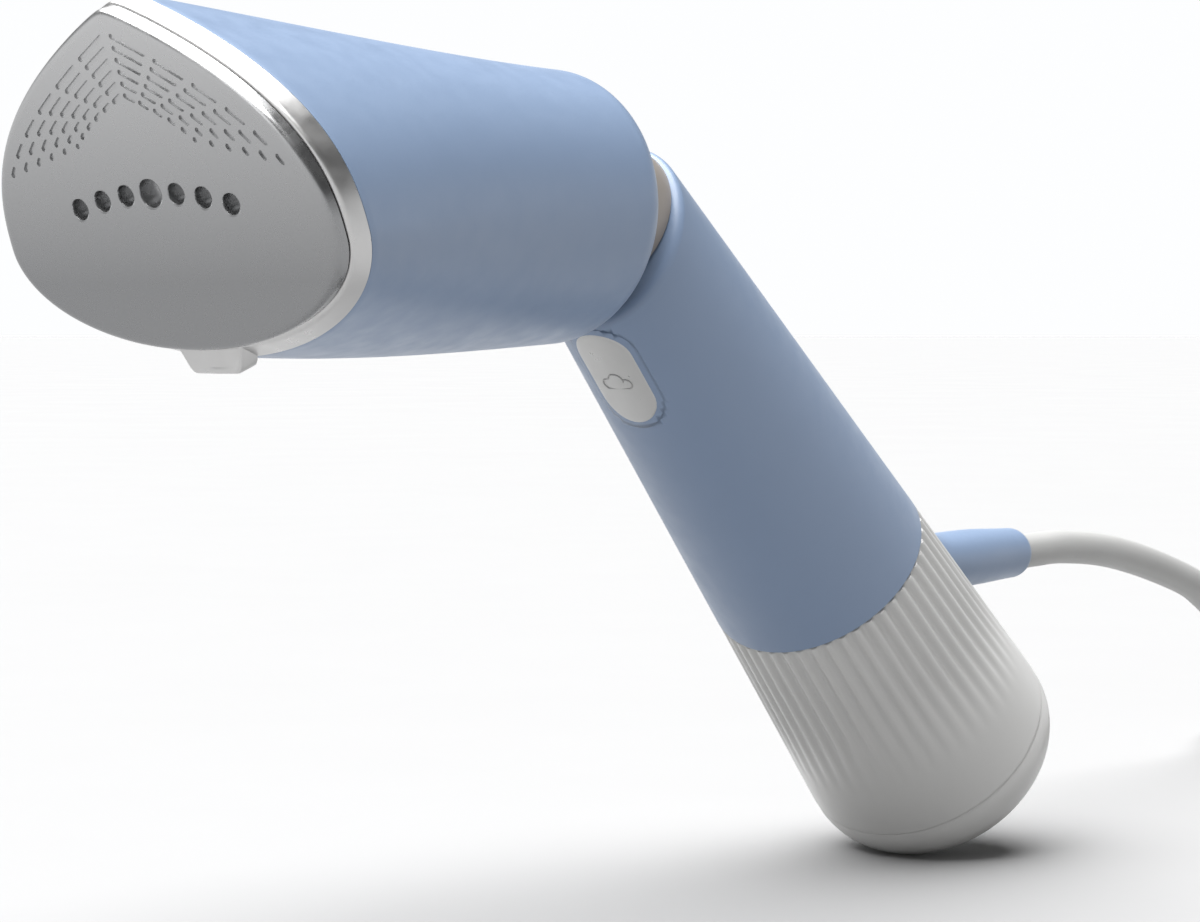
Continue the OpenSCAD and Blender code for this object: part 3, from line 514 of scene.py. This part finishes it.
def make_tie():
    """A soft strap round the coil's turns."""
    b = Build()
    a = 20.0
    out = Vector((cos(a), sin(a), 0))
    side = Vector((-sin(a), cos(a), 0))
    lo, hi, top = 30.3, 56.4, 17.2
    loop = []
    corners = ((hi - 3.2, top - 3.2, 0), (lo + 3.2, top - 3.2, 90), (lo + 3.2, 3.3, 180), (hi - 3.2, 3.3, 270))
    for cx, cz, a0 in corners:
        for i in range(7):
            w = a0 + 15 * i
            loop.append((cx, cz, cos(w), sin(w)))
    rings = []
    for w, r in ((-4, 2.3), (-3.6, 3.1), (3.6, 3.1), (4, 2.3), (3.6, 1.9), (-3.6, 1.9)):
        rings.append([coil_at + out * (cx + r * c) + Vector((0, 0, cz + r * s)) + side * w
                      for cx, cz, c, s in loop])
    ids = [b.ring(r) for r in rings]
    for p, q in zip(ids, ids[1:] + ids[:1]):
        b.skin(p, q)
    return b.make("cord_tie", WORLD, 40)


tie = paint(make_tie(), "tie")
place(tie, "handle", "cord")


# ---------------------------------------------------------------- drop outline
TIP_POWER = 2.36
TIP_R = 1.6


def drop_at(a, grow, swell=0.0):
    full = a % 360
    a = min(full, 360 - full)
    w = PLATE_W / 2 + grow
    side = w * (sin(a) if a <= 90 else max(0.0, sin(a)) ** 1.5)
    if a <= 90:
        up = PLATE_BELLY - (PLATE_FOOT + grow + swell) * cos(a)
    else:
        soft = (math.sqrt(side * side + TIP_R ** 2) - TIP_R) / (math.sqrt(w * w + TIP_R ** 2) - TIP_R)
        up = PLATE_BELLY + (PLATE_TOP + 1.15 * grow) * max(0.0, 1 - soft) ** (1 / TIP_POWER)
    return up, side if full <= 180 else -side


N_OUT = 288


def drop_ring(z, grow, swell=0.0, n=N_OUT):
    return [drop_at(360 * k / n, grow, swell) + (z,) for k in range(n)]


# ---------------------------------------------------------------- soleplate
def stadium_outline(cx, cy, length, width, slope, n=6):
    pts = []
    h = width / 2
    half = max(0.0, length / 2 - h)
    for sx, a0 in ((1, -90), (-1, 90)):
        for i in range(n + 1):
            w = a0 + 180 * i / n
            pts.append((sx * half + h * cos(w), h * sin(w)))
    return [(cx + x * cos(slope) - y * sin(slope), cy + x * sin(slope) + y * cos(slope)) for x, y in pts]


def make_plate():
    b = Build()
    rim = ((0, -1.7), (-0.05, -1.25), (-0.17, -0.85), (-0.40, -0.45), (-0.72, -0.18), (-1.1, -0.04),
           (-1.5, 0.0), (-PLATE_T, 0.0), (-PLATE_T, -2.0))
    ids = b.loft([drop_ring(z, g) for z, g in rim], flip=True)
    holes = []
    for i in range(-3, 4):
        y = i * HOLE_STEP
        up = 4.05 - 0.007 * y * y
        r = MAIN_HOLE_R if i == 0 else HOLE_R
        rings = []
        for rr, z in ((r + 0.42, 0), (r + 0.12, -0.16), (r, -0.45), (r - 0.02, -2.2)):
            rings.append([(up + rr * cos(9 * k), y + rr * sin(9 * k), z) for k in range(40)])
        hid = [b.ring(q) for q in rings]
        b.skin(hid[0], hid[1], 3)
        b.skin(hid[1], hid[2], 3)
        # The hole walls and the closing disc take the painted-shade material (index 2).
        b.skin(hid[2], hid[3], 2)
        b.face(hid[3], 2)
        holes.append(hid[0])
    for row in range(6):
        for j in range(6):
            for side in (1, -1):
                shrink = 1 - row * (0.132 - 0.004 * j)
                sx = 30.0 - 4.75 * j + 0.11 * j * j
                sy = 4.5 + 8.75 * j - 0.62 * j * j
                slope = math.degrees(math.atan2(8.75 - 1.24 * j, -4.75 + 0.22 * j))
                length = (8.2 - 1.18 * j) * shrink
                px, py = 16.3 + (sx - 16.3) * shrink, sy * shrink
                out = stadium_outline(px, py, length, 0.92, slope)
                if side < 0:
                    out = [(x, -y) for x, y in out][::-1]
                top = b.ring([(x, y, 0) for x, y in out])
                low = b.ring([(x, y, -0.35) for x, y in out])
                # The dash walls and floors take the darker painted-shade material (index 1).
                b.skin(top, low, 1)
                b.face(low, 1)
                holes.append(top)
    loops = [ids[0]] + holes
    tris = tessellate_polygon([[Vector(b.v[i]) for i in lp] for lp in loops])
    flat = [i for lp in loops for i in lp]
    for t in tris:
        q = [flat[i] for i in t]
        a, c, d = (Vector(b.v[i]) for i in q)
        if (c - a).cross(d - a).z < 0:
            q = q[::-1]
        b.face(q, 0)
    return b.make("steam_plate", PLATE, 24)


plate = paint(make_plate(), "plate", "engraved", "hole", "rim")
place(plate, "head", "sole_metal", "soleplate")


# ---------------------------------------------------------------- front band
def make_band():
    b = Build()
    rings = [drop_ring(-BAND_FACE - 1.2, -1.6, 0.0), drop_ring(-BAND_FACE, -0.75, 0.0)]
    for z, g, s in ((0.0, -0.30, 0.10), (-0.10, 0.0, 0.28), (-0.30, 0.26, 0.48), (-0.62, 0.42, 0.72)):
        rings.append(drop_ring(-BAND_FACE + z, g, s))
    for i in range(1, 9):
        t = i / 8
        rings.append(drop_ring(-BAND_FACE - 0.62 + (-SHELL_FACE + 0.15 + BAND_FACE + 0.62) * t,
                               0.42 + 0.10 * t, 0.72 + (FOOT_SWELL - 0.72) * t))
    rings.append(drop_ring(-SHELL_FACE, 0.40, FOOT_SWELL - 0.08))
    rings.append(drop_ring(-SHELL_FACE, -1.5, FOOT_SWELL - 2.0))
    b.loft(rings, flip=True)
    # the catch under the band
    low = PLATE_BELLY - PLATE_FOOT + 1.2
    shape = [(0.0, -8.6), (-3.2, -7.0), (-5.2, -6.1), (-6.0, -5.5), (-6.35, -4.7), (-6.4, 0.0), (-6.35, 4.7),
             (-6.0, 5.5), (-5.2, 6.1), (-3.2, 7.0), (0.0, 8.6)]
    rings = []
    for z, grow in ((-3.9, -0.9), (-3.68, -0.55), (-3.6, -0.1), (-3.85, 0.25), (-4.4, 0.4), (-7.9, 0.4)):
        rings.append([(low + x - grow if x < -3.5 else low + x,
                       y + (grow if y > 0 else -grow if y < 0 else 0), z)
                      for x, y in shape])
    ids = [b.ring(r) for r in rings]
    for p, q in zip(ids, ids[1:]):
        b.skin(p, q, flip=True, closed=False)
    b.cap(ids[0])
    b.cap(ids[-1], flip=True)
    return b.make("trim_band", PLATE, 30)


band = paint(make_band(), "band")
place(band, "head", "band_metal", "front_band")


# ---------------------------------------------------------------- head shell
SHELL_FRONT = Vector((-HEAD_REACH + (SHELL_FACE + 0.05) * cos(PLATE_LEAN), 0,
                      -PLATE_SINK + (SHELL_FACE + 0.05) * sin(PLATE_LEAN)))
SHELL_BACK = Vector((-HEAD_GAP - HEAD_ROUND, 0, 0))


def shell_ring(u, inset, n=N_OUT):
    c = SHELL_FRONT.lerp(SHELL_BACK, u)
    tilt = PLATE_LEAN * (1 - u)
    s = 1 - (1 - u) ** 2
    r = 30 + (HEAD_R - 30) * u - inset
    out = []
    for k in range(n):
        a = 360 * k / n
        dx, dy = drop_at(a, 0.5 - inset, FOOT_SWELL)
        up = dx + (-r * cos(a) - dx) * s
        side = dy + (r * sin(a) - dy) * s
        out.append(K + c + Vector((-up * sin(tilt), side, up * cos(tilt))))
    return out


def round_ring(f, n=N_OUT):
    r = HEAD_R - HEAD_ROUND + HEAD_ROUND * cos(f)
    return [K + Vector((SHELL_BACK.x + HEAD_ROUND * sin(f), r * sin(360 * k / n), -r * cos(360 * k / n)))
            for k in range(n)]


def make_head():
    b = Build()
    rings = [shell_ring(0.0, 2.2), shell_ring(0.0, 0.35), shell_ring(0.001, 0.1), shell_ring(0.004, 0.0)]
    rings += [shell_ring(i / 44, 0.0) for i in range(1, 45)]
    rings += [round_ring(90 * i / 14) for i in range(1, 15)]
    rings.append([K + Vector((-HEAD_GAP, 8 * sin(360 * k / N_OUT), -8 * cos(360 * k / N_OUT)))
                  for k in range(N_OUT)])
    b.loft(rings, flip=True)
    return b.make("head_body", WORLD, 40)


head = paint(make_head(), "body")
place(head, "head", "body_shell", "head_shell")


# ---------------------------------------------------------------- handle shell
N_H = 144


def top_d(phi, s=TOP_CUT):
    return (s + sin(SWIVEL) * GRIP_R * cos(phi)) / (cos(SWIVEL) - sin(SWIVEL) * FLARE * cos(phi))


def cone_point(phi, d, inset=0.0):
    r = cone_r(d) - inset
    return (r * cos(phi), r * sin(phi), d)


def make_handle():
    b = Build()
    phis = [360 * k / N_H for k in range(N_H)]
    to_handle = HANDLE.inverted() @ SWIV
    rho = 2.3
    rings = []
    hole = NECK_R - 2.3 + 0.3
    for s in (TOP_CUT + 1.8, TOP_CUT + 0.3, TOP_CUT):
        rr = hole if s > TOP_CUT else hole + 0.25
        rings.append([to_handle @ Vector((rr * cos(p), rr * sin(p), s)) for p in phis])
    for i in range(9):
        beta = 90 - 90 * i / 8
        ring = []
        for p in phis:
            local = min(rho, 1.15 + 1.15 * (1 + cos(p)) / 2 + 0.4)
            ring.append(Vector(cone_point(p, top_d(p) + local * (1 - sin(beta)), local * (1 - cos(beta)))))
        rings.append(ring)
    steps = 60
    for i in range(1, steps + 1):
        t = i / steps
        rings.append([Vector(cone_point(p, (top_d(p) + 2.4) * (1 - t) + (HANDLE_LEN - 0.5) * t)) for p in phis])
    rings.append([Vector(cone_point(p, HANDLE_LEN - 0.15, 0.12)) for p in phis])
    rings.append([Vector(cone_point(p, HANDLE_LEN, 0.45)) for p in phis])
    rings.append([Vector(cone_point(p, HANDLE_LEN, 2.2)) for p in phis])
    rings.append([Vector(cone_point(p, HANDLE_LEN - 14, 2.2)) for p in phis])
    b.loft(rings)
    return b.make("handle_body", HANDLE, 40)


def stadium_ring(inset, height, n=20):
    """Points round the trigger, height above the grip's surface."""
    half_w = TRIG_W / 2 - inset
    half_l = (TRIG_L - TRIG_W) / 2
    out = []
    for sgn, a0 in ((1, -90), (-1, 90)):
        for i in range(n + 1):
            a = a0 + 180 * i / n
            d = TRIG_AT + sgn * half_l + half_w * cos(a)
            y = half_w * sin(a)
            out.append((y, d))
    pts = []
    for y, d in out:
        x = math.sqrt(cone_r(d) ** 2 - y * y) + height
        pts.append((x, y, d))
    return pts


handle = make_handle()


def cut_window(obj):
    b = Build()
    inner = [(9.0, y, d) for x, y, d in stadium_ring(-1.2, 0)]
    outer = [(30.0, y, d) for x, y, d in stadium_ring(-1.2, 0)]
    i0, i1 = b.ring(inner), b.ring(outer)
    b.skin(i0, i1)
    b.cap(i0, flip=True)
    b.cap(i1)
    cutter = b.make("window_cutter", HANDLE, 0)
    mod = obj.modifiers.new("window", "BOOLEAN")
    mod.object = cutter
    mod.operation = "DIFFERENCE"
    mod.solver = "EXACT"
    dg = bpy.context.evaluated_depsgraph_get()
    me = bpy.data.meshes.new_from_object(obj.evaluated_get(dg))
    obj.modifiers.clear()
    obj.data = me
    bpy.data.objects.remove(cutter)
    return obj


def cone_normals(obj):
    """Exact normals on the grip's cone, so the window leaves no ripple round it."""
    me = obj.data
    inv = HANDLE.inverted()
    rot = HANDLE.to_3x3()
    norms = [tuple(c.vector) for c in me.corner_normals]
    for p in me.polygons:
        for li in p.loop_indices:
            co = inv @ (me.vertices[me.loops[li].vertex_index].co / MM)
            rad = math.hypot(co.x, co.y)
            if abs(rad - cone_r(co.z)) < 0.03:
                n = (rot @ Vector((co.x / rad, co.y / rad, -FLARE))).normalized()
                if n.dot(p.normal) > 0.93:
                    norms[li] = tuple(n)
    me.normals_split_custom_set(norms)


handle = cut_window(handle)
cone_normals(handle)
paint(handle, "body")
place(handle, "handle", "body_shell", "handle_shell")


# ---------------------------------------------------------------- trigger
def make_trigger():
    b = Build()
    edge = ((0.05, -5.0), (0.0, -0.75), (0.06, -0.35), (0.24, -0.05), (0.52, 0.14), (0.9, 0.24),
            (1.4, 0.27), (2.8, 0.28), (4.6, 0.28), (6.2, 0.28), (6.85, 0.28))
    rings = [stadium_ring(inset, height) for inset, height in edge]
    ids = b.loft(rings)
    b.cap(ids[-1])
    b.cap(ids[0], flip=True)
    return b.make("trigger_cap", HANDLE, 40)


trigger = paint(make_trigger(), "trigger")
place(trigger, "trigger", "trigger", "steam_trigger")


def on_trigger(y, d, h=0.3):
    return (math.sqrt(cone_r(d) ** 2 - y * y) + h, y, d)


def make_icon():
    """A plain puff of steam: a flat-bottomed cloud outline."""
    pts = []
    puffs = ((-2.4, 0.1, 1.25, 250, 80), (-0.3, -1.0, 1.75, 195, 20), (2.1, 0.0, 1.35, 95, -70))
    for cx, cz, r, a0, a1 in puffs:
        for i in range(11):
            a = a0 + (a1 - a0) * i / 10
            pts.append(on_trigger(cx + r * cos(a), TRIG_AT + 1.2 + cz - r * sin(a)))
    return curve_line("steam_icon", pts, 0.17, HANDLE, cyclic=True, res=3)


icon = paint(make_icon(), "icon")
place(icon, "trigger", "trigger")


# ---------------------------------------------------------------- tank
CH_R = GUARD_R + 0.45
CH_END = HANDLE_LEN + 47


def foot_profile(d):
    """Outer radius of the tank without flutes."""
    if d <= FOOT_D:
        return cone_r(d)
    x = min(1.0, (d - FOOT_D) / TANK_ROUND)
    return FOOT_R + TANK_ROUND * math.sqrt(max(0.0, 1 - x * x))


def channel_limit(psi, grow=0.0):
    """How far out the tank may reach at this angle from its back."""
    r = CH_R + grow
    if abs(psi) > 90:
        return 99.0
    edge = GUARD_OFF * sin(abs(psi))
    if edge < r * 0.985:
        return GUARD_OFF * cos(psi) - math.sqrt(r * r - edge * edge)
    return 99.0


def tank_radius(phi, d, inset=0.0):
    psi = phi % 360 - 180
    base = foot_profile(d) - inset
    fade = step((163 - d) / 30) if d > 133 else 1.0
    if inset == 0.0:
        away = step((abs(psi) - 17.5) / 3)
        wave = (0.5 - 0.5 * math.cos(FLUTES * math.radians(phi))) ** 1.25
        base -= 0.95 * wave * fade * away * step((FOOT_D - d) / 6)
    if d < CH_END + inset:
        base = min(base, channel_limit(psi, inset))
    return base


def make_tank():
    b = Build()
    n = FLUTES * 12
    phis = [360 * k / n for k in range(n)]
    ds = [HANDLE_LEN + 0.32, HANDLE_LEN + 0.45, HANDLE_LEN + 0.8]
    ds += [HANDLE_LEN + 1.4 + (CH_END - HANDLE_LEN - 2) * i / 30 for i in range(31)]
    ds += [CH_END - 0.02, CH_END + 0.02]
    ds += [CH_END + 1 + (172.6 - CH_END - 1) * i / 9 for i in range(10)]
    edge = [(172.9, 0.0), (173.05, 0.10), (173.2, 0.26), (173.4, 0.30), (173.6, 0.20), (173.9, 0.12)]
    rings = []
    for i, d in enumerate(ds):
        trim = (0.4, 0.12, 0.0)[i] if i < 3 else 0.0
        rings.append([((tank_radius(p, d) - trim) * cos(p), (tank_radius(p, d) - trim) * sin(p), d)
                      for p in phis])
    for d, cut in edge:
        rings.append([((foot_profile(d) - cut) * cos(p), (foot_profile(d) - cut) * sin(p), d) for p in phis])
    for i in range(1, 23):
        a = 90 * i / 22
        d = FOOT_D + TANK_ROUND * sin(a)
        if d < 174.6:
            continue
        r = FOOT_R + TANK_ROUND * cos(a) - 0.10 * (1 - i / 22)
        rings.append([(r * cos(p), r * sin(p), d) for p in phis])
    rings.append([(FOOT_R * 0.5 * cos(p), FOOT_R * 0.5 * sin(p), TANK_END) for p in phis])
    ids = b.loft(rings)
    b.cap(ids[-1])
    # the inside wall
    m = FLUTES * 4
    phis = [360 * k / m for k in range(m)]
    ins = []
    levels = [HANDLE_LEN + 4 + 3.9 * i for i in range(12)]
    for d in [HANDLE_LEN + 2.1] + levels + [CH_END + 1.78, CH_END + 1.82]:
        ins.append([((tank_radius(p, d, 2.2)) * cos(p), (tank_radius(p, d, 2.2)) * sin(p), d) for p in phis])
    for d in (165, 170, FOOT_D):
        ins.append([((foot_profile(d) - 2.2) * cos(p), (foot_profile(d) - 2.2) * sin(p), d) for p in phis])
    for i in range(1, 11):
        a = 9 * i
        r = FOOT_R + (TANK_ROUND - 2.2) * cos(a)
        ins.append([(r * cos(p), r * sin(p), FOOT_D + (TANK_ROUND - 2.2) * sin(a)) for p in phis])
    jds = b.loft(ins, flip=True)
    b.cap(jds[-1], flip=True)
    # the top face and the mouth
    top = b.ring([(MOUTH_R * cos(360 * k / n), MOUTH_R * sin(360 * k / n), HANDLE_LEN + 0.32)
                  for k in range(n)])
    b.skin(top, ids[0])
    under = b.ring([((MOUTH_R - 1.7) * cos(360 * k / m), (MOUTH_R - 1.7) * sin(360 * k / m), HANDLE_LEN + 2.1)
                    for k in range(m)])
    b.skin(under, jds[0], flip=True)
    lip = HANDLE_LEN - 13 + 0.3
    b.loft(lathe([(MOUTH_R - 1.7, HANDLE_LEN + 2.1), (MOUTH_R - 1.7, lip + 0.4), (MOUTH_R - 1.4, lip),
                  (MOUTH_R - 0.3, lip), (MOUTH_R, lip + 0.4), (MOUTH_R, HANDLE_LEN + 0.32)], 96), flip=True)
    return b.make("water_tank", HANDLE, 42)


tank = paint(make_tank(), "tank")
place(tank, "tank", "tank", "tank_shell")


# ---------------------------------------------------------------- cord guard
def guard_route():
    out = Vector((-sin(BEND), 0, cos(BEND)))
    turn = 34.0
    tangent = turn * math.tan(math.radians(BEND / 2))
    corner = GUARD_END - out * ((GUARD_END.x + GUARD_OFF + 0.4) / out.x)
    start = Vector((corner.x, 0, corner.z - tangent))
    pts = [Vector((-GUARD_OFF + 6.5, 0, HANDLE_LEN - 31)), Vector((-GUARD_OFF + 2.7, 0, HANDLE_LEN - 21)),
           Vector((-GUARD_OFF + 0.7, 0, HANDLE_LEN - 11)), Vector((-GUARD_OFF, 0, HANDLE_LEN)),
           Vector((-GUARD_OFF - 0.3, 0, HANDLE_LEN + 8))]
    for i in range(5):
        a = 11 * i * BEND / 44
        pts.append(start + Vector((-turn * (1 - cos(a)), 0, turn * sin(a))))
    pts += [GUARD_END - out * t for t in (20, 14, 7, 3, 0)]
    return pts


def make_guard():
    b = Build()
    path = smooth_path(guard_route(), 8)
    lens = [0.0]
    for a, c in zip(path, path[1:]):
        lens.append(lens[-1] + (c - a).length)
    total = lens[-1]
    radii = []
    for s in lens:
        left = total - s
        r = GUARD_R + 0.35 * step((s - 66) / 14) - 0.75 * step((s - 84) / (total - 84))
        if left < 3.2:
            r -= 3.2 - math.sqrt(max(0.0, 3.2 ** 2 - (3.2 - left) ** 2))
            r = max(r, CORD_D / 2 + 0.05)
        radii.append(r)
    ids = b.loft(tube_rings(path, radii, 48))
    b.cap(ids[0], flip=True)
    b.cap(ids[-1])
    return b.make("cord_guard", HANDLE, 50)


guard = paint(make_guard(), "body")
place(guard, "handle", "body_shell", "cord_outlet", "cord_boot")


# ---------------------------------------------------------------- carried-over CAD pieces
# The bezel slot takes the near-black painted-shade material for the gap round the trigger.
SLOT_MAT = {"body_shell": "body", "sole_metal": "plate", "band_metal": "band", "neck": "neck",
            "trigger": "trigger", "bezel": "dark", "tank": "tank", "cord": "cord", "pin_metal": "pin",
            "cast_block": "cast", "seal": "seal", "steel": "steel", "brass": "brass",
            "ceramic": "ceramic", "hose": "hose", "inner_plastic": "inner", "winding": "winding",
            "board": "board"}
NODE_MAT = {"board_parts": "parts", "tank_seal": "black_rubber", "pump_grommets": "black_rubber",
            "pump_barrel": "light_plastic", "suction_tube": "light_plastic", "handle_base": "light_plastic",
            "bearing_plate": "light_plastic"}
slots = {s["node"]: s["material_slot"] for s in frame["record"]["subparts"]}
for name, obj in frame["nodes"].items():
    key = NODE_MAT.get(name) or SLOT_MAT[slots[name]]
    obj.data.materials.clear()
    obj.data.materials.append(M[key].mat)


# ---------------------------------------------------------------- stage and light
def make_stage():
    b = Build()
    edges = [0.01, 1.0, 3.0, 10.0, 60.0]
    ids = b.loft([[(x * 1000, y * 1000, 0) for x, y, z in r] for r in lathe([(e, 0) for e in edges], 96)])
    b.cap(ids[0])
    obj = b.make("studio_floor", WORLD, 0)
    for p in obj.data.polygons:
        if p.normal.z < 0:
            p.flip()
    m = Mat("studio_floor", (FLOOR_TONE, FLOOR_TONE, FLOOR_TONE * 1.005), 0.8, drift=0.004, grain=60, bump=0.0)
    m.bsdf.inputs["Specular IOR Level"].default_value = 0.1
    obj.data.materials.append(m.mat)
    return obj


FLOOR_TONE = 0.27
floor = make_stage()


def sun(name, direction, strength, angle, colour=(1, 1, 1)):
    li = bpy.data.lights.new(name, "SUN")
    li.energy = strength
    li.angle = math.radians(angle)
    li.color = colour
    o = bpy.data.objects.new(name, li)
    o.rotation_euler = Vector(direction).to_track_quat("Z", "Y").to_euler()
    bpy.context.scene.collection.objects.link(o)
    return o


sun("overhead_soft_light", (-0.22, 0.16, 0.95), 11.2, 75)
sun("side_soft_light", (-0.80, -0.10, 0.45), 0.5, 35)


def make_world():
    """A dim studio with an even bright surround at the height of the horizon."""
    world = bpy.data.worlds.new("studio")
    bpy.context.scene.world = world
    world.use_nodes = True
    nodes, links = world.node_tree.nodes, world.node_tree.links
    bg = next(n for n in nodes if n.type == "BACKGROUND")
    coord = nodes.new("ShaderNodeTexCoord")
    sep = nodes.new("ShaderNodeSeparateXYZ")
    links.new(coord.outputs["Generated"], sep.inputs[0])
    ramp = nodes.new("ShaderNodeMapRange")
    ramp.interpolation_type = "SMOOTHSTEP"
    for key, v in (("From Min", 0.11), ("From Max", 0.36), ("To Min", 1.0), ("To Max", 0.07)):
        ramp.inputs[key].default_value = v
    links.new(sep.outputs["Z"], ramp.inputs["Value"])
    bg.inputs["Color"].default_value = (0.985, 0.992, 1.0, 1)
    links.new(ramp.outputs["Result"], bg.inputs["Strength"])


make_world()
bpy.context.scene.view_settings.view_transform = "Standard"
